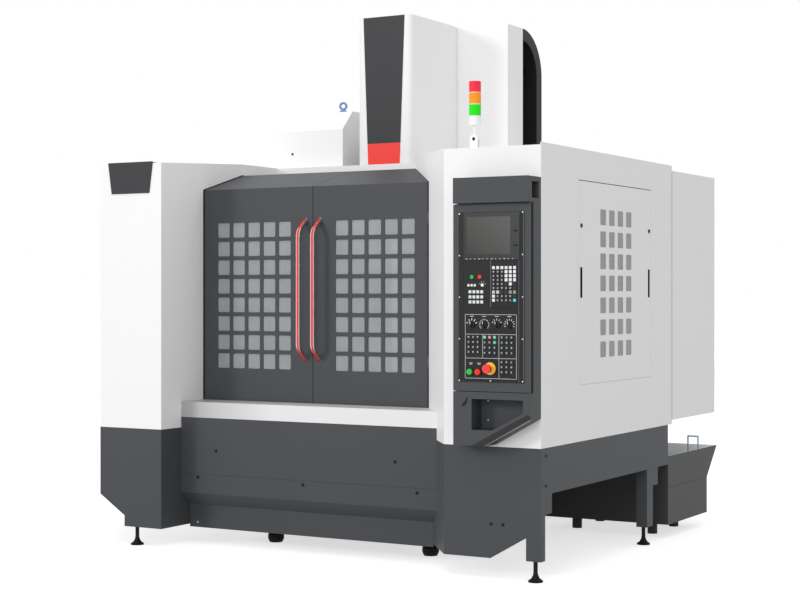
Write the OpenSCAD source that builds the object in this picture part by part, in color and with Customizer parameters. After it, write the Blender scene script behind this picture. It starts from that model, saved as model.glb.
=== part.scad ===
// Vertical machining center: cast bed and column, moving table and spindle head,
// arm-type tool changer, sliding front doors, operator panel and sheet-metal enclosure.
// Millimetres. X runs to the right, Y to the rear, Z up. X = 0 is the spindle's plane.
// Inside the modules a depth is measured from the enclosure's front plane towards the rear.

/* [Enclosure] */
// Overall width over the side walls
machine_w = 3228; // [3160:1:3400]
// Y of the enclosure's front plane
front_y = -1235; // [-1300:1:-1150]
// Thickness of the sheet-metal covers
sheet_t = 4; // [3:0.5:5]
// Height of the joint between the dark skirts and the white panels
white_z = 673; // [650:1:690]
// Height of the roof sheets
roof_z = 2197; // [2190:1:2230]
// Rise of the upstands around the roof opening, above the roof
upstand = 43; // [30:1:60]
// Height of the side walls above the roof
side_lip = 13; // [8:1:25]
// Depth of the right side wall
side_d = 1839; // [1800:1:1870]
// Inner face of the left front box, from the centre plane
left_box_in = 768; // [760:1:780]
// Width of the left front box
left_box_w = 445; // [420:1:470]
// Depth of the left front box's outer side before the bevel starts
left_box_d = 100; // [60:1:110]
// Width of the right cabinet's front face
right_front_w = 551; // [524:1:574]
// Where the right cabinet's angled wall ends, from the centre plane
right_wall_in = 444; // [430:1:470]
// Gap between the rear edge of the roof opening and the head cover's front
rim_gap = 25; // [20:1:55]

/* [Skirts and lower front] */
// Underside of the skirts and legs
skirt_z = 105; // [95:1:120]
// Height of the cut-out under the side skirts
skirt_cut_z = 438; // [420:1:460]
// Depth of the side skirts
skirt_d = 1774; // [1740:1:1800]
// Depth of the lower front panel behind the front plane
lower_d = 187; // [170:1:210]
// Top of the lower front panel
lower_top_z = 735; // [715:1:755]
// Height where the lower front panel folds back
toe_z = 299; // [280:1:320]
// How far the toe space goes back
toe_in = 85; // [70:1:100]
// Underside of the toe plate
toe_bottom_z = 89; // [85:1:100]
// Top of the sill below the doors
sill_top_z = 825; // [815:1:840]

/* [Doors] */
// Depth of the doors' outer face
door_d = 404; // [395:1:415]
// Width of one door leaf
door_w = 790; // [780:1:800]
// Bottom edge of the doors
door_bottom_z = 790; // [780:1:800]
// Height where the doors fold back
door_fold_z = 2060; // [2050:1:2065]
// Length of the sloped door top, along the depth
slope_run = 400; // [390:1:410]
// Rise of the sloped door top
slope_rise = 110; // [100:1:115]
// Depth of the flanges around each door
door_flange = 35; // [30:1:38]
// Gap between the two doors
door_gap = 4; // [3:0.5:8]
// How far each door slides
door_travel = 690; // [600:1:690]
// Width of one window pane
pane_w = 84; // [76:1:88]
// Height of one window pane
pane_h = 86; // [78:1:90]
// Corner radius of a window pane
pane_r = 9; // [6:1:14]
// Spacing of the panes across the door
pane_pitch_x = 107; // [104:1:110]
// Spacing of the panes up the door
pane_pitch_z = 109; // [106:1:112]
// Panes across one door
pane_cols = 5; // [3:1:5]
// Panes up one door
pane_rows = 8; // [5:1:8]
// Middle of the pane grid, from the centre plane
pane_mid_x = 407; // [400:1:414]
// Middle height of the pane grid
pane_mid_z = 1438; // [1425:1:1450]
// Thickness of the window sheets
window_t = 6; // [4:1:8]
// Diameter of the door handle's tube
handle_od = 28; // [22:1:32]
// Distance of a door handle from the centre plane
handle_x = 48; // [44:1:60]
// Distance from the door to the handle tube's axis
handle_reach = 81; // [70:1:95]
// Height of the handle's lower foot
handle_low_z = 1074; // [1050:1:1100]
// Height of the handle's upper foot
handle_high_z = 1865; // [1840:1:1890]
// Height over which a handle's end bends back to the door
handle_bend = 65; // [50:1:80]

/* [Right side] */
// Front edge of the lift-off access panel
access_front_d = 469; // [455:1:480]
// Length of the access panel
access_l = 1029; // [1020:1:1040]
// Bottom of the access panel
access_low_z = 968; // [955:1:980]
// Height of the access panel
access_h = 1080; // [1070:1:1090]
// Gap around the access panel
access_gap = 4; // [2:0.5:6]
// Width of the rim that holds the access panel from behind
access_rim = 15; // [10:1:20]
// Width of a side window pane
side_pane_w = 80; // [72:1:90]
// Height of a side window pane
side_pane_h = 85; // [76:1:95]
// Spacing of the side panes along the depth
side_pitch_d = 122; // [118:1:126]
// Spacing of the side panes up the wall
side_pitch_z = 119; // [116:1:122]
// Width of the finger slots
finger_w = 28; // [24:1:30]
// Height of the finger slots
finger_h = 161; // [140:1:180]

/* [Machine bed and table] */
// Width of the cast bed
bed_w = 1120; // [1080:2:1160]
// Depth of the bed's front end
bed_front_d = 420; // [400:1:440]
// How far the cast bed reaches behind the column
bed_tail = 20; // [10:1:40]
// Height of the round pads under the bed
pad_h = 80; // [70:1:85]
// Top of the bed's body
bed_top_z = 480; // [470:1:490]
// Height of the raised ways and of the column's seat
way_h = 80; // [75:1:85]
// Distance between the middles of the two Y ways
y_way_pitch = 660; // [640:2:700]
// Width of a guide rail
rail_w = 45; // [40:1:50]
// Height of a guide rail
rail_h = 45; // [40:1:48]
// Sliding clearance of the guide shoes
slide_gap = 0.3; // [0.2:0.05:0.5]
// Length of the table
table_l = 1400; // [1300:2:1420]
// Width of the table
table_w = 600; // [560:2:620]
// Thickness of the table
table_t = 100; // [95:1:110]
// Number of T-slots in the table
slot_count = 5; // [3:2:5]
// Width of a T-slot
slot_w = 18; // [14:1:22]
// Spacing of the T-slots
slot_pitch = 110; // [100:1:110]
// Length of the saddle
saddle_l = 1720; // [1700:2:1760]
// Thickness of the saddle
saddle_t = 150; // [140:1:160]
// X travel of the table
x_travel = 1300; // [1200:10:1300]
// Y travel of the saddle
y_travel = 660; // [600:10:660]

/* [Spindle head] */
// Depth of the spindle's axis
spindle_d = 1400; // [1395:1:1410]
// Height of the spindle nose with the head at the top
nose_z = 1800; // [1790:1:1820]
// Diameter of the spindle shaft
spindle_od = 110; // [100:1:120]
// Radial running clearance of the spindle
run_gap = 0.05; // [0.03:0.01:0.08]
// Large diameter of the spindle's taper
taper_od = 44.45; // [40:0.05:50]
// Z travel of the head
z_travel = 700; // [600:10:700]
// Width of the head cover
head_w = 380; // [370:2:390]
// Distance from the spindle's axis to the head cover's front face
head_reach = 195; // [190:1:205]
// Top of the head cover
head_top_z = 3141; // [3130:1:3160]
// Height of the joint between the dark and the red front plates
accent_z = 2366; // [2350:1:2380]
// Width of the column shroud
shroud_w = 1094; // [1080:2:1100]
// Distance from the shroud's front face to the column's guide face
shroud_reach = 309; // [300:1:312]
// Length of the shroud's side walls
shroud_l = 217; // [200:1:230]
// Top of the shroud
shroud_top_z = 3135; // [3130:1:3160]
// Width of the cast column
column_w = 840; // [820:2:850]
// Distance from the spindle's axis to the column's guide face
throat = 710; // [705:1:720]
// Length of the column along the depth
column_l = 390; // [370:1:400]
// Top of the column
column_top_z = 2950; // [2940:1:2960]
// Distance between the middles of the two Z ways
z_way_pitch = 500; // [480:2:520]

/* [Tool changer] */
// Number of tool pots
pot_count = 24; // [16:1:24]
// Radius of the ring of tool pots
pot_ring = 350; // [340:1:355]
// Diameter of a tool pot
pot_od = 64; // [56:1:68]
// Length of a tool pot
pot_l = 110; // [100:1:120]
// Height of the tool disc's axis
disc_z = 2150; // [2150:1:2160]
// Distance from the spindle's axis back to the tool disc's axis
pot_offset = 340; // [335:1:350]
// X of the tool disc's front face
disc_x = -730; // [-740:1:-720]
// Diameter of the disc's axle
axle_od = 80; // [70:1:90]
// X of the middle between spindle and waiting tool, where the changer arm turns
arm_x = -320; // [-325:1:-315]
// Underside of the changer arm
arm_z = 1690; // [1680:1:1695]
// Thickness of the changer arm
arm_t = 40; // [35:1:45]
// Right side of the magazine cover
magazine_x1 = -355; // [-365:1:-350]
// Gap between the magazine cover and the left side wall
magazine_side = 214; // [194:1:234]
// Distance from the spindle's axis to the magazine cover's front
magazine_reach = 100; // [95:1:110]
// Height of the magazine cover's front edge
magazine_front_z = 2480; // [2470:1:2490]
// Height and depth of the magazine cover's bevel
magazine_bevel = 120; // [110:1:130]

/* [Operator panel] */
// Width of the control housing
control_w = 433; // [424:1:439]
// Underside of the panel
panel_low_z = 956; // [950:1:965]
// Top of the panel
panel_top_z = 1904; // [1895:1:1915]
// Depth of the fixed control housing, in front of the front plane
housing_reach = 88; // [85:1:90]
// Depth of the panel door's face, in front of the front plane
panel_reach = 120; // [118:1:122]
// Depth of the hood, in front of the front plane
hood_reach = 151; // [145:1:160]
// Height of the hood
hood_h = 129; // [120:1:135]
// Underside of the pocket housing
pocket_low_z = 684; // [680:1:690]
// Width of the black panel face
face_w = 365; // [360:1:370]
// Height of the black panel face
face_h = 852; // [840:1:860]
// Diameter of the selector knobs
knob_od = 34; // [28:1:38]
// Diameter of the emergency stop's head
estop_od = 44; // [38:1:48]
// Diameter of the start and hold buttons
button_od = 30; // [26:1:34]
// Stroke of the push buttons
button_stroke = 3; // [2:0.5:4]

/* [Signal tower and rear] */
// Distance from the signal tower to the right side wall
tower_side = 459; // [444:1:474]
// Depth of the signal tower
tower_d = 172; // [160:1:190]
// Diameter of the signal tower
tower_od = 63; // [58:1:68]
// Height of one light
light_h = 56; // [50:1:58]
// Rear of the electrical cabinet
cabinet_rear_d = 2627; // [2600:1:2640]
// Underside of the electrical cabinet
cabinet_low_z = 697; // [690:1:710]
// Top of the electrical cabinet
cabinet_top_z = 2180; // [2170:1:2190]
// Width of the electrical cabinet
cabinet_w = 614; // [594:1:654]
// Rear of the coolant tank's lower box
tank_rear_d = 2455; // [2440:1:2480]
// Gap between the bed and the coolant tank
tank_gap = 240; // [230:1:280]
// Height of the coolant tank's lower box
tank_box_z = 300; // [290:1:310]
// Top of the coolant tank's flared tray
tank_top_z = 485; // [475:1:500]
// How far the tray flares to the rear
tank_flare = 185; // [170:1:190]

/* [Hidden] */
$fn = 48;

white = "whitesmoke";
dark = "dimgray";
iron = "#26282b";
steel = "silver";

// Tiny overlap that makes cuts run clean through a face
cut = 1;
half_w = machine_w / 2;
side_in = half_w - sheet_t;
right_front_in = half_w - right_front_w;
control_x0 = half_w - control_w;
cabinet_in = half_w - cabinet_w;
tank_in = bed_w / 2 + tank_gap;
tower_x = half_w - tower_side;
magazine_x0 = magazine_side - half_w;
column_d = spindle_d + throat;
shroud_d = column_d - shroud_reach;
head_front_d = spindle_d - head_reach;
rim_d = head_front_d - rim_gap;
disc_d = spindle_d + pot_offset;
magazine_d = spindle_d - magazine_reach;
bed_l = column_d + column_l + bed_tail - bed_front_d;
slope_d = door_d + slope_run;
slope_top_z = door_fold_z + slope_rise;
strip_gap = 2;
left_box_out = left_box_in + left_box_w;
bevel_run = half_w - left_box_out;
left_corner_d = left_box_d + bevel_run;
left_seam_d = left_corner_d + 60;
lining_d = column_d - 65;
lining_in = 224;
lining_x = half_w - lining_in;
lining_drop = 50;
head_slot = 230;
magazine_top_z = magazine_front_z + magazine_bevel;
magazine_rear_d = column_d + 70;
way_top_z = bed_top_z + way_h;
rail_top_z = way_top_z + rail_h;
saddle_z = rail_top_z + 7;
saddle_top_z = saddle_z + saddle_t;
x_rail_top_z = saddle_top_z + rail_h;
table_z = x_rail_top_z + 45;
table_top_z = table_z + table_t;
screw_od = 40;
y_screw_z = bed_top_z + 70;
x_screw_z = saddle_top_z + 45;
z_screw_d = column_d - 25;
panel_gap = 3;
face_x0 = control_x0 + 33;
face_z0 = panel_low_z + 50;
face_t = 4;
panel_plate_t = 6;
panel_hinge_x = control_x0 + 8;
panel_hinge_d = -housing_reach - 13;
knob_z = 289;
key_h = 3;
knuckle_z = roof_z + 60;
tank_d = skirt_d;
tank_floor_z = 80;

// Unit vector along v
function unit(v) = v / norm(v);
// Vector turned a quarter turn to the left
function left_of(v) = [-v.y, v.x];
// Direction of the run that starts at point i
function run_of(p, i) = unit(p[i + 1] - p[i]);
// Mitre direction at point i of a bent sheet
function mitre(p, i) =
    let (a = left_of(run_of(p, max(i - 1, 0))), b = left_of(run_of(p, min(i, len(p) - 2))))
    (a + b) / (1 + a * b);
// Outline of a sheet bent along p, with its thickness to the left of the path
function folded(p, t) = concat(p, [for (i = [len(p) - 1 : -1 : 0]) p[i] + t * mitre(p, i)]);
// X of the right cabinet's angled wall at a depth
function angled_x(d) = right_front_in - d * (right_front_in - right_wall_in) / slope_d;
// Height of the doors' sloped top at a depth
function slope_z(d) = door_fold_z + (d - door_d) * slope_rise / slope_run;

module at_front() translate([0, front_y, 0]) children();
module block(lo, hi) translate(lo) cube(hi - lo);
module bent_sheet(p, t = sheet_t) polygon(folded(p, t));
// Extrudes a plan outline between two heights
module rise(z0, z1) translate([0, 0, z0]) linear_extrude(z1 - z0) children();
// Extrudes a side outline, drawn as depth and height, from x0 to x1
module along_x(x0, x1) translate([x0, 0, 0]) rotate([90, 0, 90]) linear_extrude(x1 - x0) children();
// Extrudes a front outline, drawn as X and height, from d0 to d1
module along_d(d0, d1) translate([0, d1, 0]) rotate([90, 0, 0]) linear_extrude(d1 - d0) children();
module rod_x(x0, x1, od) translate([x0, 0, 0]) rotate([0, 90, 0]) cylinder(d = od, h = x1 - x0);
module rod_d(d0, d1, od) translate([0, d1, 0]) rotate([90, 0, 0]) cylinder(d = od, h = d1 - d0);
module mirrored() {
    children();
    mirror([1, 0, 0]) children();
}
module rounded_rect(w, h, r) {
    square([w - 2 * r, h], center = true);
    square([w, h - 2 * r], center = true);
    for (x = [-1, 1], y = [-1, 1]) translate([x * (w / 2 - r), y * (h / 2 - r)]) circle(r);
}
// Places a pane outline at every place of a centred grid
module pane_grid(cols, rows, pitch_x, pitch_z)
    for (i = [0 : cols - 1], j = [0 : rows - 1])
        translate([(i - (cols - 1) / 2) * pitch_x, (j - (rows - 1) / 2) * pitch_z]) children();

// Cast bed with raised ways, column seat, lightening pockets and foot lugs
pad_x = [-330, 700];
pad_d = [bed_front_d + 100, bed_front_d + bed_l / 2, bed_front_d + bed_l - 100];
lug_w = 150;
lug_h = 60;
pocket_count = 6;
pocket_w = 230;
pocket_deep = 90;
way_w = 130;
y_rail_d0 = spindle_d - y_travel / 2 - 270;
y_rail_d1 = spindle_d + y_travel / 2 + 270;
module bed_casting() color(iron) at_front() difference() {
    union() {
        block([-bed_w / 2, bed_front_d, pad_h], [bed_w / 2, bed_front_d + bed_l, bed_top_z]);
        mirrored() block([y_way_pitch / 2 - way_w / 2, y_rail_d0 - 20, bed_top_z],
            [y_way_pitch / 2 + way_w / 2, y_rail_d1 + 20, way_top_z]);
        block([-column_w / 2 - 20, column_d - 20, bed_top_z],
            [column_w / 2 + 20, bed_front_d + bed_l, way_top_z]);
        for (x = pad_x, d = pad_d) block([min(x, bed_w / 2) - lug_w / 2, d - lug_w / 2, pad_h],
            [x + lug_w / 2, d + lug_w / 2, pad_h + lug_h]);
    }
    pocket_pitch = bed_l / pocket_count;
    mirrored() for (i = [0 : pocket_count - 1])
        let (d = bed_front_d + pocket_pitch * (i + 0.5))
            block([bed_w / 2 - pocket_deep, d - pocket_w / 2, pad_h + lug_h + 20],
                [bed_w / 2 + cut, d + pocket_w / 2, bed_top_z - 60]);
}

// Round pads under the bed and thin leveling feet under the enclosure's legs
pad_od = 94;
foot_od = 75;
stem_od = 22;
leg_w = 83;
leg_d = 50;
rear_leg_in = 336;
rear_leg_d = skirt_d - rear_leg_in;
rear_leg_w = 92;
left_foot_x = -964;
foot_places = [
    [left_foot_x, 30], [half_w - leg_w / 2, leg_d / 2], [half_w - 40, rear_leg_d + rear_leg_w / 2],
    [-half_w + 33, rear_leg_d + rear_leg_w / 2]
];
module bed_pad() rotate_extrude()
    polygon([[0, 0], [pad_od * 0.4, 0], [pad_od / 2, 20], [pad_od / 2, 45], [pad_od * 0.32, 60],
        [pad_od * 0.32, pad_h], [0, pad_h]]);
module thin_foot() rotate_extrude()
    polygon([[0, 0], [foot_od / 2, 0], [foot_od / 2, 8], [foot_od * 0.3, 18], [stem_od * 0.6, 36],
        [stem_od / 2, 50], [stem_od / 2, skirt_z], [0, skirt_z]]);
module leveling_feet() color(iron) at_front() {
    for (x = pad_x, d = pad_d) translate([x, d, 0]) bed_pad();
    for (p = foot_places) translate([p.x, p.y, 0]) thin_foot();
}

// Cast column with a foot flange and open pockets at the rear
column_rear_d = column_d + column_l;
module column_casting() color(iron) at_front() difference() {
    union() {
        block([-column_w / 2, column_d, way_top_z], [column_w / 2, column_rear_d, column_top_z]);
        block([-column_w / 2 - 20, column_d, way_top_z],
            [column_w / 2 + 20, column_rear_d + 20, way_top_z + 50]);
    }
    rib = 60;
    bays_x = 3;
    bays_z = 8;
    bay_w = column_w / bays_x;
    bay_h = (column_top_z - way_top_z - 50) / bays_z;
    for (i = [0 : bays_x - 1], j = [0 : bays_z - 1])
        translate([(i - (bays_x - 1) / 2) * bay_w, 0, way_top_z + 50 + j * bay_h])
            block([-bay_w / 2 + rib / 2, column_d + 150, rib / 2],
                [bay_w / 2 - rib / 2, column_rear_d + 20 + cut, bay_h - rib / 2]);
}

// Section of a linear guide rail, standing on its base
module rail_section() polygon([[-rail_w / 2, 0], [rail_w / 2, 0], [rail_w / 2, rail_h * 0.35],
    [rail_w * 0.38, rail_h * 0.5], [rail_w * 0.38, rail_h * 0.62], [rail_w / 2, rail_h * 0.75],
    [rail_w / 2, rail_h], [-rail_w / 2, rail_h], [-rail_w / 2, rail_h * 0.75],
    [-rail_w * 0.38, rail_h * 0.62], [-rail_w * 0.38, rail_h * 0.5], [-rail_w / 2, rail_h * 0.35]]);
z_rail_z0 = 1080;
z_rail_z1 = 2880;
module guide_rails() color(steel) at_front() mirrored() {
    translate([y_way_pitch / 2, 0, way_top_z]) along_d(y_rail_d0, y_rail_d1) rail_section();
    translate([z_way_pitch / 2, column_d, 0]) rise(z_rail_z0, z_rail_z1) rotate(180) rail_section();
}

// Y and Z ballscrews with their bearing blocks and servo motors
bearing_w = 110;
bearing_l = 50;
motor_w = 130;
motor_l = 150;
module ballscrews() color(steel) at_front() {
    translate([0, 0, y_screw_z]) rod_d(y_rail_d0 - bearing_l, y_rail_d1 + bearing_l, screw_od);
    for (d = [y_rail_d0 - bearing_l, y_rail_d1]) block([-bearing_w / 2, d, bed_top_z],
        [bearing_w / 2, d + bearing_l, y_screw_z + 45]);
    block([-motor_w / 2, y_rail_d0 - bearing_l - motor_l, y_screw_z - motor_w / 2],
        [motor_w / 2, y_rail_d0 - bearing_l, y_screw_z + motor_w / 2]);
    translate([0, z_screw_d, z_rail_z0 - bearing_l])
        cylinder(d = screw_od, h = column_top_z - z_rail_z0 + bearing_l);
    for (z = [z_rail_z0 - bearing_l, z_rail_z1]) block([-bearing_w / 2, z_screw_d - 45, z],
        [bearing_w / 2, column_d, z + bearing_l]);
    block([-bearing_w / 2, z_screw_d - 60, column_top_z],
        [bearing_w / 2, column_d + 80, column_top_z + 30]);
    block([-motor_w / 2, z_screw_d - motor_w / 2, column_top_z + 30],
        [motor_w / 2, z_screw_d + motor_w / 2, column_top_z + 30 + motor_l - 20]);
}

// Side outline of the walls beside the roof opening: clear of the sliding doors below
module clear_of_doors() polygon([[-cut, white_z], [door_d - strip_gap, white_z],
    [door_d - strip_gap, door_fold_z + strip_gap], [slope_d, slope_top_z + strip_gap],
    [rim_d + cut, slope_top_z + strip_gap], [rim_d + cut, roof_z + upstand],
    [slope_d, roof_z + upstand], [0, roof_z], [-cut, roof_z]]);

// Left front box: bent front and bevel, inner wall and roof sheet
left_outer = [[-half_w, left_seam_d], [-half_w, left_corner_d], [-left_box_out, left_box_d],
    [-left_box_out, 0], [-left_box_in, 0], [-left_box_in, lower_d + toe_in + 10]];
module left_cabinet() color(white) at_front() {
    rise(white_z, roof_z) bent_sheet(left_outer);
    intersection() {
        block([-left_box_in - sheet_t, 0, white_z], [-left_box_in, rim_d, roof_z + upstand]);
        along_x(-left_box_in - sheet_t, -left_box_in) clear_of_doors();
    }
    rise(roof_z - sheet_t, roof_z) polygon([
        [-left_box_in, 0], [-left_box_out, 0], [-left_box_out, left_box_d],
        [-half_w, left_corner_d], [-half_w, left_seam_d], [-side_in, left_seam_d],
        [-side_in, lining_d], [magazine_x0 + 10, lining_d], [magazine_x0 + 10, magazine_d + 10],
        [-left_box_in, magazine_d + 10]]);
}

// Left side wall, a plain sheet with a lip above the roof
module left_side_panel() color(white) at_front()
    block([-half_w, left_seam_d, white_z], [-side_in, lining_d + sheet_t, roof_z + side_lip]);

// Dark skirt under the left box and the left side wall
skirt_corner_z = 282;
skirt_corner_x = -1034;
skirt_corner_low_z = 167;
module left_skirt() color(dark) at_front() difference() {
    union() {
        rise(skirt_z, white_z) bent_sheet(left_outer);
        block([-left_box_out + sheet_t, sheet_t, skirt_z], [-left_box_in - sheet_t, 60, skirt_z + sheet_t]);
        along_x(-half_w, -side_in) side_skirt_outline(left_seam_d);
        rear_leg_flanges(-1);
    }
    along_d(-cut, left_seam_d - cut) polygon([
        [-half_w - cut, skirt_corner_z], [-left_box_out, skirt_corner_z],
        [skirt_corner_x, skirt_corner_low_z], [skirt_corner_x, skirt_z - cut],
        [-half_w - cut, skirt_z - cut]]);
    block([-half_w - cut, left_corner_d + cut, skirt_z - cut],
        [-side_in + cut, left_seam_d + cut, skirt_cut_z]);
}

// Outline of a side skirt with its stepped rear leg, from a front depth
leg_step_z = 338;
leg_step = 78;
module side_skirt_outline(d0) polygon([[d0, white_z], [skirt_d, white_z], [skirt_d, skirt_cut_z],
    [rear_leg_d + rear_leg_w + leg_step, skirt_cut_z], [rear_leg_d + rear_leg_w + leg_step, leg_step_z],
    [rear_leg_d + rear_leg_w, leg_step_z], [rear_leg_d + rear_leg_w, skirt_z], [rear_leg_d, skirt_z],
    [rear_leg_d, skirt_cut_z], [d0, skirt_cut_z]]);
rear_flange = 66;
module rear_leg_flanges(side) {
    lo_x = side > 0 ? half_w - rear_flange : -half_w;
    block([lo_x, rear_leg_d, skirt_z], [lo_x + rear_flange, rear_leg_d + sheet_t, white_z - 60]);
    block([lo_x, rear_leg_d, skirt_z], [lo_x + rear_flange, rear_leg_d + rear_leg_w, skirt_z + sheet_t]);
}

// Plan of the space in front of the doors, up to the right cabinet's angled wall
module front_bay() polygon([
    [-left_box_in, -cut], [angled_x(-cut), -cut], [angled_x(door_d + 60), door_d + 60],
    [-left_box_in, door_d + 60]]);

// Lower front panel with a toe space, bent from one sheet with a joggled seam
seam_z = 410;
seam_deep = 2;
module front_lower_panel() color(dark) at_front() intersection() {
    rise(0, lower_top_z) front_bay();
    difference() {
        along_x(-left_box_in, half_w) bent_sheet([
            [lower_d + toe_in, toe_bottom_z], [lower_d + toe_in, toe_z - 76],
            [lower_d, toe_z], [lower_d, lower_top_z]], -sheet_t);
        block([-half_w, lower_d - cut, seam_z - 1], [half_w, lower_d + seam_deep, seam_z + 1]);
    }
}

// White sill with a ledge and the shelf that carries the lower door rail
shelf_z = door_bottom_z - 24;
module front_sill() color(white) at_front() intersection() {
    rise(lower_top_z, sill_top_z) front_bay();
    along_x(-left_box_in, half_w) bent_sheet([[lower_d, lower_top_z], [lower_d, sill_top_z],
        [door_d - 8, sill_top_z], [door_d - 8, shelf_z], [door_d + 41, shelf_z]], -sheet_t);
}

// Lower running rail under the doors and upper guide rail behind their sloped tops
rail_bar = 20;
rail_reach = 1480;
module door_rails() color(steel) at_front() {
    block([-rail_reach, door_d + 10, shelf_z],
        [rail_reach, door_d + 10 + rail_bar, door_bottom_z - slide_gap]);
    block([-side_in, slope_d + 2, slope_top_z - 50], [side_in, slope_d + 2 + rail_bar, slope_top_z - 5]);
}

// Right cabinet: front, angled wall and upstand bent from one sheet, and the roof sheet
right_outer = [[right_wall_in, rim_d], [right_wall_in, slope_d], [right_front_in, 0], [side_in, 0]];
module right_cabinet() color(white) at_front() {
    intersection() {
        rise(white_z, roof_z + upstand) bent_sheet(right_outer);
        along_x(0, half_w) clear_of_doors();
    }
    rise(roof_z - sheet_t, roof_z) polygon([[side_in, 0], [right_front_in, 0], [right_wall_in, slope_d],
        [right_wall_in, rim_d + sheet_t], [head_slot, rim_d + sheet_t], [head_slot, shroud_d + 30],
        [rear_right_in + 10, shroud_d + 30], [rear_right_in + 10, lining_d], [lining_x, lining_d],
        [lining_x, side_d], [side_in, side_d]]);
}

// Dark lower front of the right cabinet with its diagonal corner
corner_low_x = 1331;
corner_z = 220;
module right_lower_cabinet() color(dark) at_front() intersection() {
    rise(skirt_z, white_z) bent_sheet([[angled_x(lower_d + toe_in + 10), lower_d + toe_in + 10],
        [right_front_in, 0], [side_in, 0]]);
    along_d(-cut, door_d) polygon([[0, skirt_z], [corner_low_x, skirt_z], [half_w - leg_w, corner_z],
        [half_w, corner_z], [half_w, white_z], [0, white_z]]);
}

// Right side wall with the opening for the access panel
module right_side_panel() color(white) at_front() difference() {
    block([side_in, 0, white_z], [half_w, side_d, roof_z + side_lip]);
    block([side_in - cut, access_front_d, access_low_z],
        [half_w + cut, access_front_d + access_l, access_low_z + access_h]);
}

// Lift-off access panel: outer sheet in the opening, rim behind it, panes, finger slots, locks
access_mid_d = access_front_d + access_l / 2;
side_pane_mid_d = 978;
side_pane_mid_z = 1505;
finger_z = 1508;
lock_z = 1808;
lock_od = 22;
module access_cut() along_x(side_in - 2 * sheet_t, half_w + cut) {
    translate([side_pane_mid_d, side_pane_mid_z]) pane_grid(4, 7, side_pitch_d, side_pitch_z)
        rounded_rect(side_pane_w, side_pane_h, pane_r);
    for (s = [-1, 1]) translate([access_mid_d + s * (access_l / 2 - access_gap - finger_w), finger_z])
        square([finger_w, finger_h], center = true);
}
module side_access_panel() color(white) at_front() {
    difference() {
        union() {
            block([side_in, access_front_d + access_gap, access_low_z + access_gap],
                [half_w, access_front_d + access_l - access_gap, access_low_z + access_h - access_gap]);
            block([side_in - sheet_t, access_front_d - access_rim, access_low_z - access_rim],
                [side_in, access_front_d + access_l + access_rim, access_low_z + access_h + access_rim]);
        }
        access_cut();
    }
    for (s = [-1, 1]) translate([0, access_mid_d + s * (access_l / 2 - access_gap - finger_w), lock_z])
        rod_x(half_w - sheet_t, half_w, lock_od);
}
module side_window() color("lightgray", 0.6) at_front()
    block([side_in - sheet_t - window_t, side_pane_mid_d - 2 * side_pitch_d,
            side_pane_mid_z - 3.6 * side_pitch_z],
        [side_in - sheet_t, side_pane_mid_d + 2 * side_pitch_d, side_pane_mid_z + 3.6 * side_pitch_z]);

// Dark side skirt with a corner leg at the front and a stepped leg at the rear
module right_skirt() color(dark) at_front() {
    along_x(side_in, half_w) {
        side_skirt_outline(0);
        polygon([
            [0, skirt_cut_z], [131, skirt_cut_z], [131, leg_step_z], [leg_d, leg_step_z], [leg_d, skirt_z],
            [0, skirt_z]]);
    }
    block([half_w - leg_w, 0, skirt_z], [half_w, sheet_t, corner_z]);
    block([half_w - leg_w, 0, skirt_z], [half_w, leg_d, skirt_z + sheet_t]);
    rear_leg_flanges(1);
}

// Cross strip along the rear edge of the roof opening, with the sheet in front of the magazine
module roof_rim() color(white) at_front() {
    along_x(-left_box_in, right_wall_in) bent_sheet([[rim_d + 18, roof_z - 45], [rim_d, roof_z - 45],
        [rim_d, roof_z + upstand - 3]], -sheet_t);
    block([-left_box_in, rim_d, roof_z - sheet_t], [-head_slot, magazine_d + 10, roof_z]);
}

// Splash guards: side sheets that slope into the bed, and rear walls beside the column
chute_z = 640;
chute_low_z = 430;
rear_left_in = 430;
rear_right_in = 335;
lining_front_d = 460;
disc_window_z = 1800;
disc_window_x = -1000;
function lining_path(top_z) = [[-lining_x, top_z], [-lining_x, chute_z],
    [-bed_w / 2 - sheet_t, chute_low_z], [-bed_w / 2 - sheet_t, chute_low_z - 90]];
module splash_panels() color("gainsboro") at_front() {
    along_d(lining_front_d, lining_d) bent_sheet(lining_path(door_fold_z - lining_drop));
    mirror([1, 0, 0]) along_d(lining_front_d, lining_d) bent_sheet(lining_path(access_low_z - 20));
    along_d(lining_d, lining_d + sheet_t) polygon([[-side_in, white_z], [-rear_left_in, white_z],
        [-rear_left_in, disc_window_z], [disc_window_x, disc_window_z], [disc_window_x, roof_z - sheet_t],
        [-side_in, roof_z - sheet_t]]);
    block([rear_right_in, lining_d, white_z], [lining_x, lining_d + sheet_t, roof_z - sheet_t]);
}

// White shroud around the column's front, with the slot for the head's neck
neck_w = 340;
neck_slot = neck_w / 2 + 10;
casting_top_z = 2700;
shroud_rear_d = shroud_d + shroud_l;
module column_shroud() color(white) at_front() {
    mirrored() rise(roof_z, shroud_top_z) bent_sheet([[neck_slot, shroud_d], [shroud_w / 2, shroud_d],
        [shroud_w / 2, shroud_rear_d]]);
    block([-neck_slot, shroud_d, casting_top_z + 20], [neck_slot, shroud_d + sheet_t, shroud_top_z]);
    block([-shroud_w / 2, shroud_d, shroud_top_z - sheet_t], [shroud_w / 2, shroud_rear_d, shroud_top_z]);
}

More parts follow.
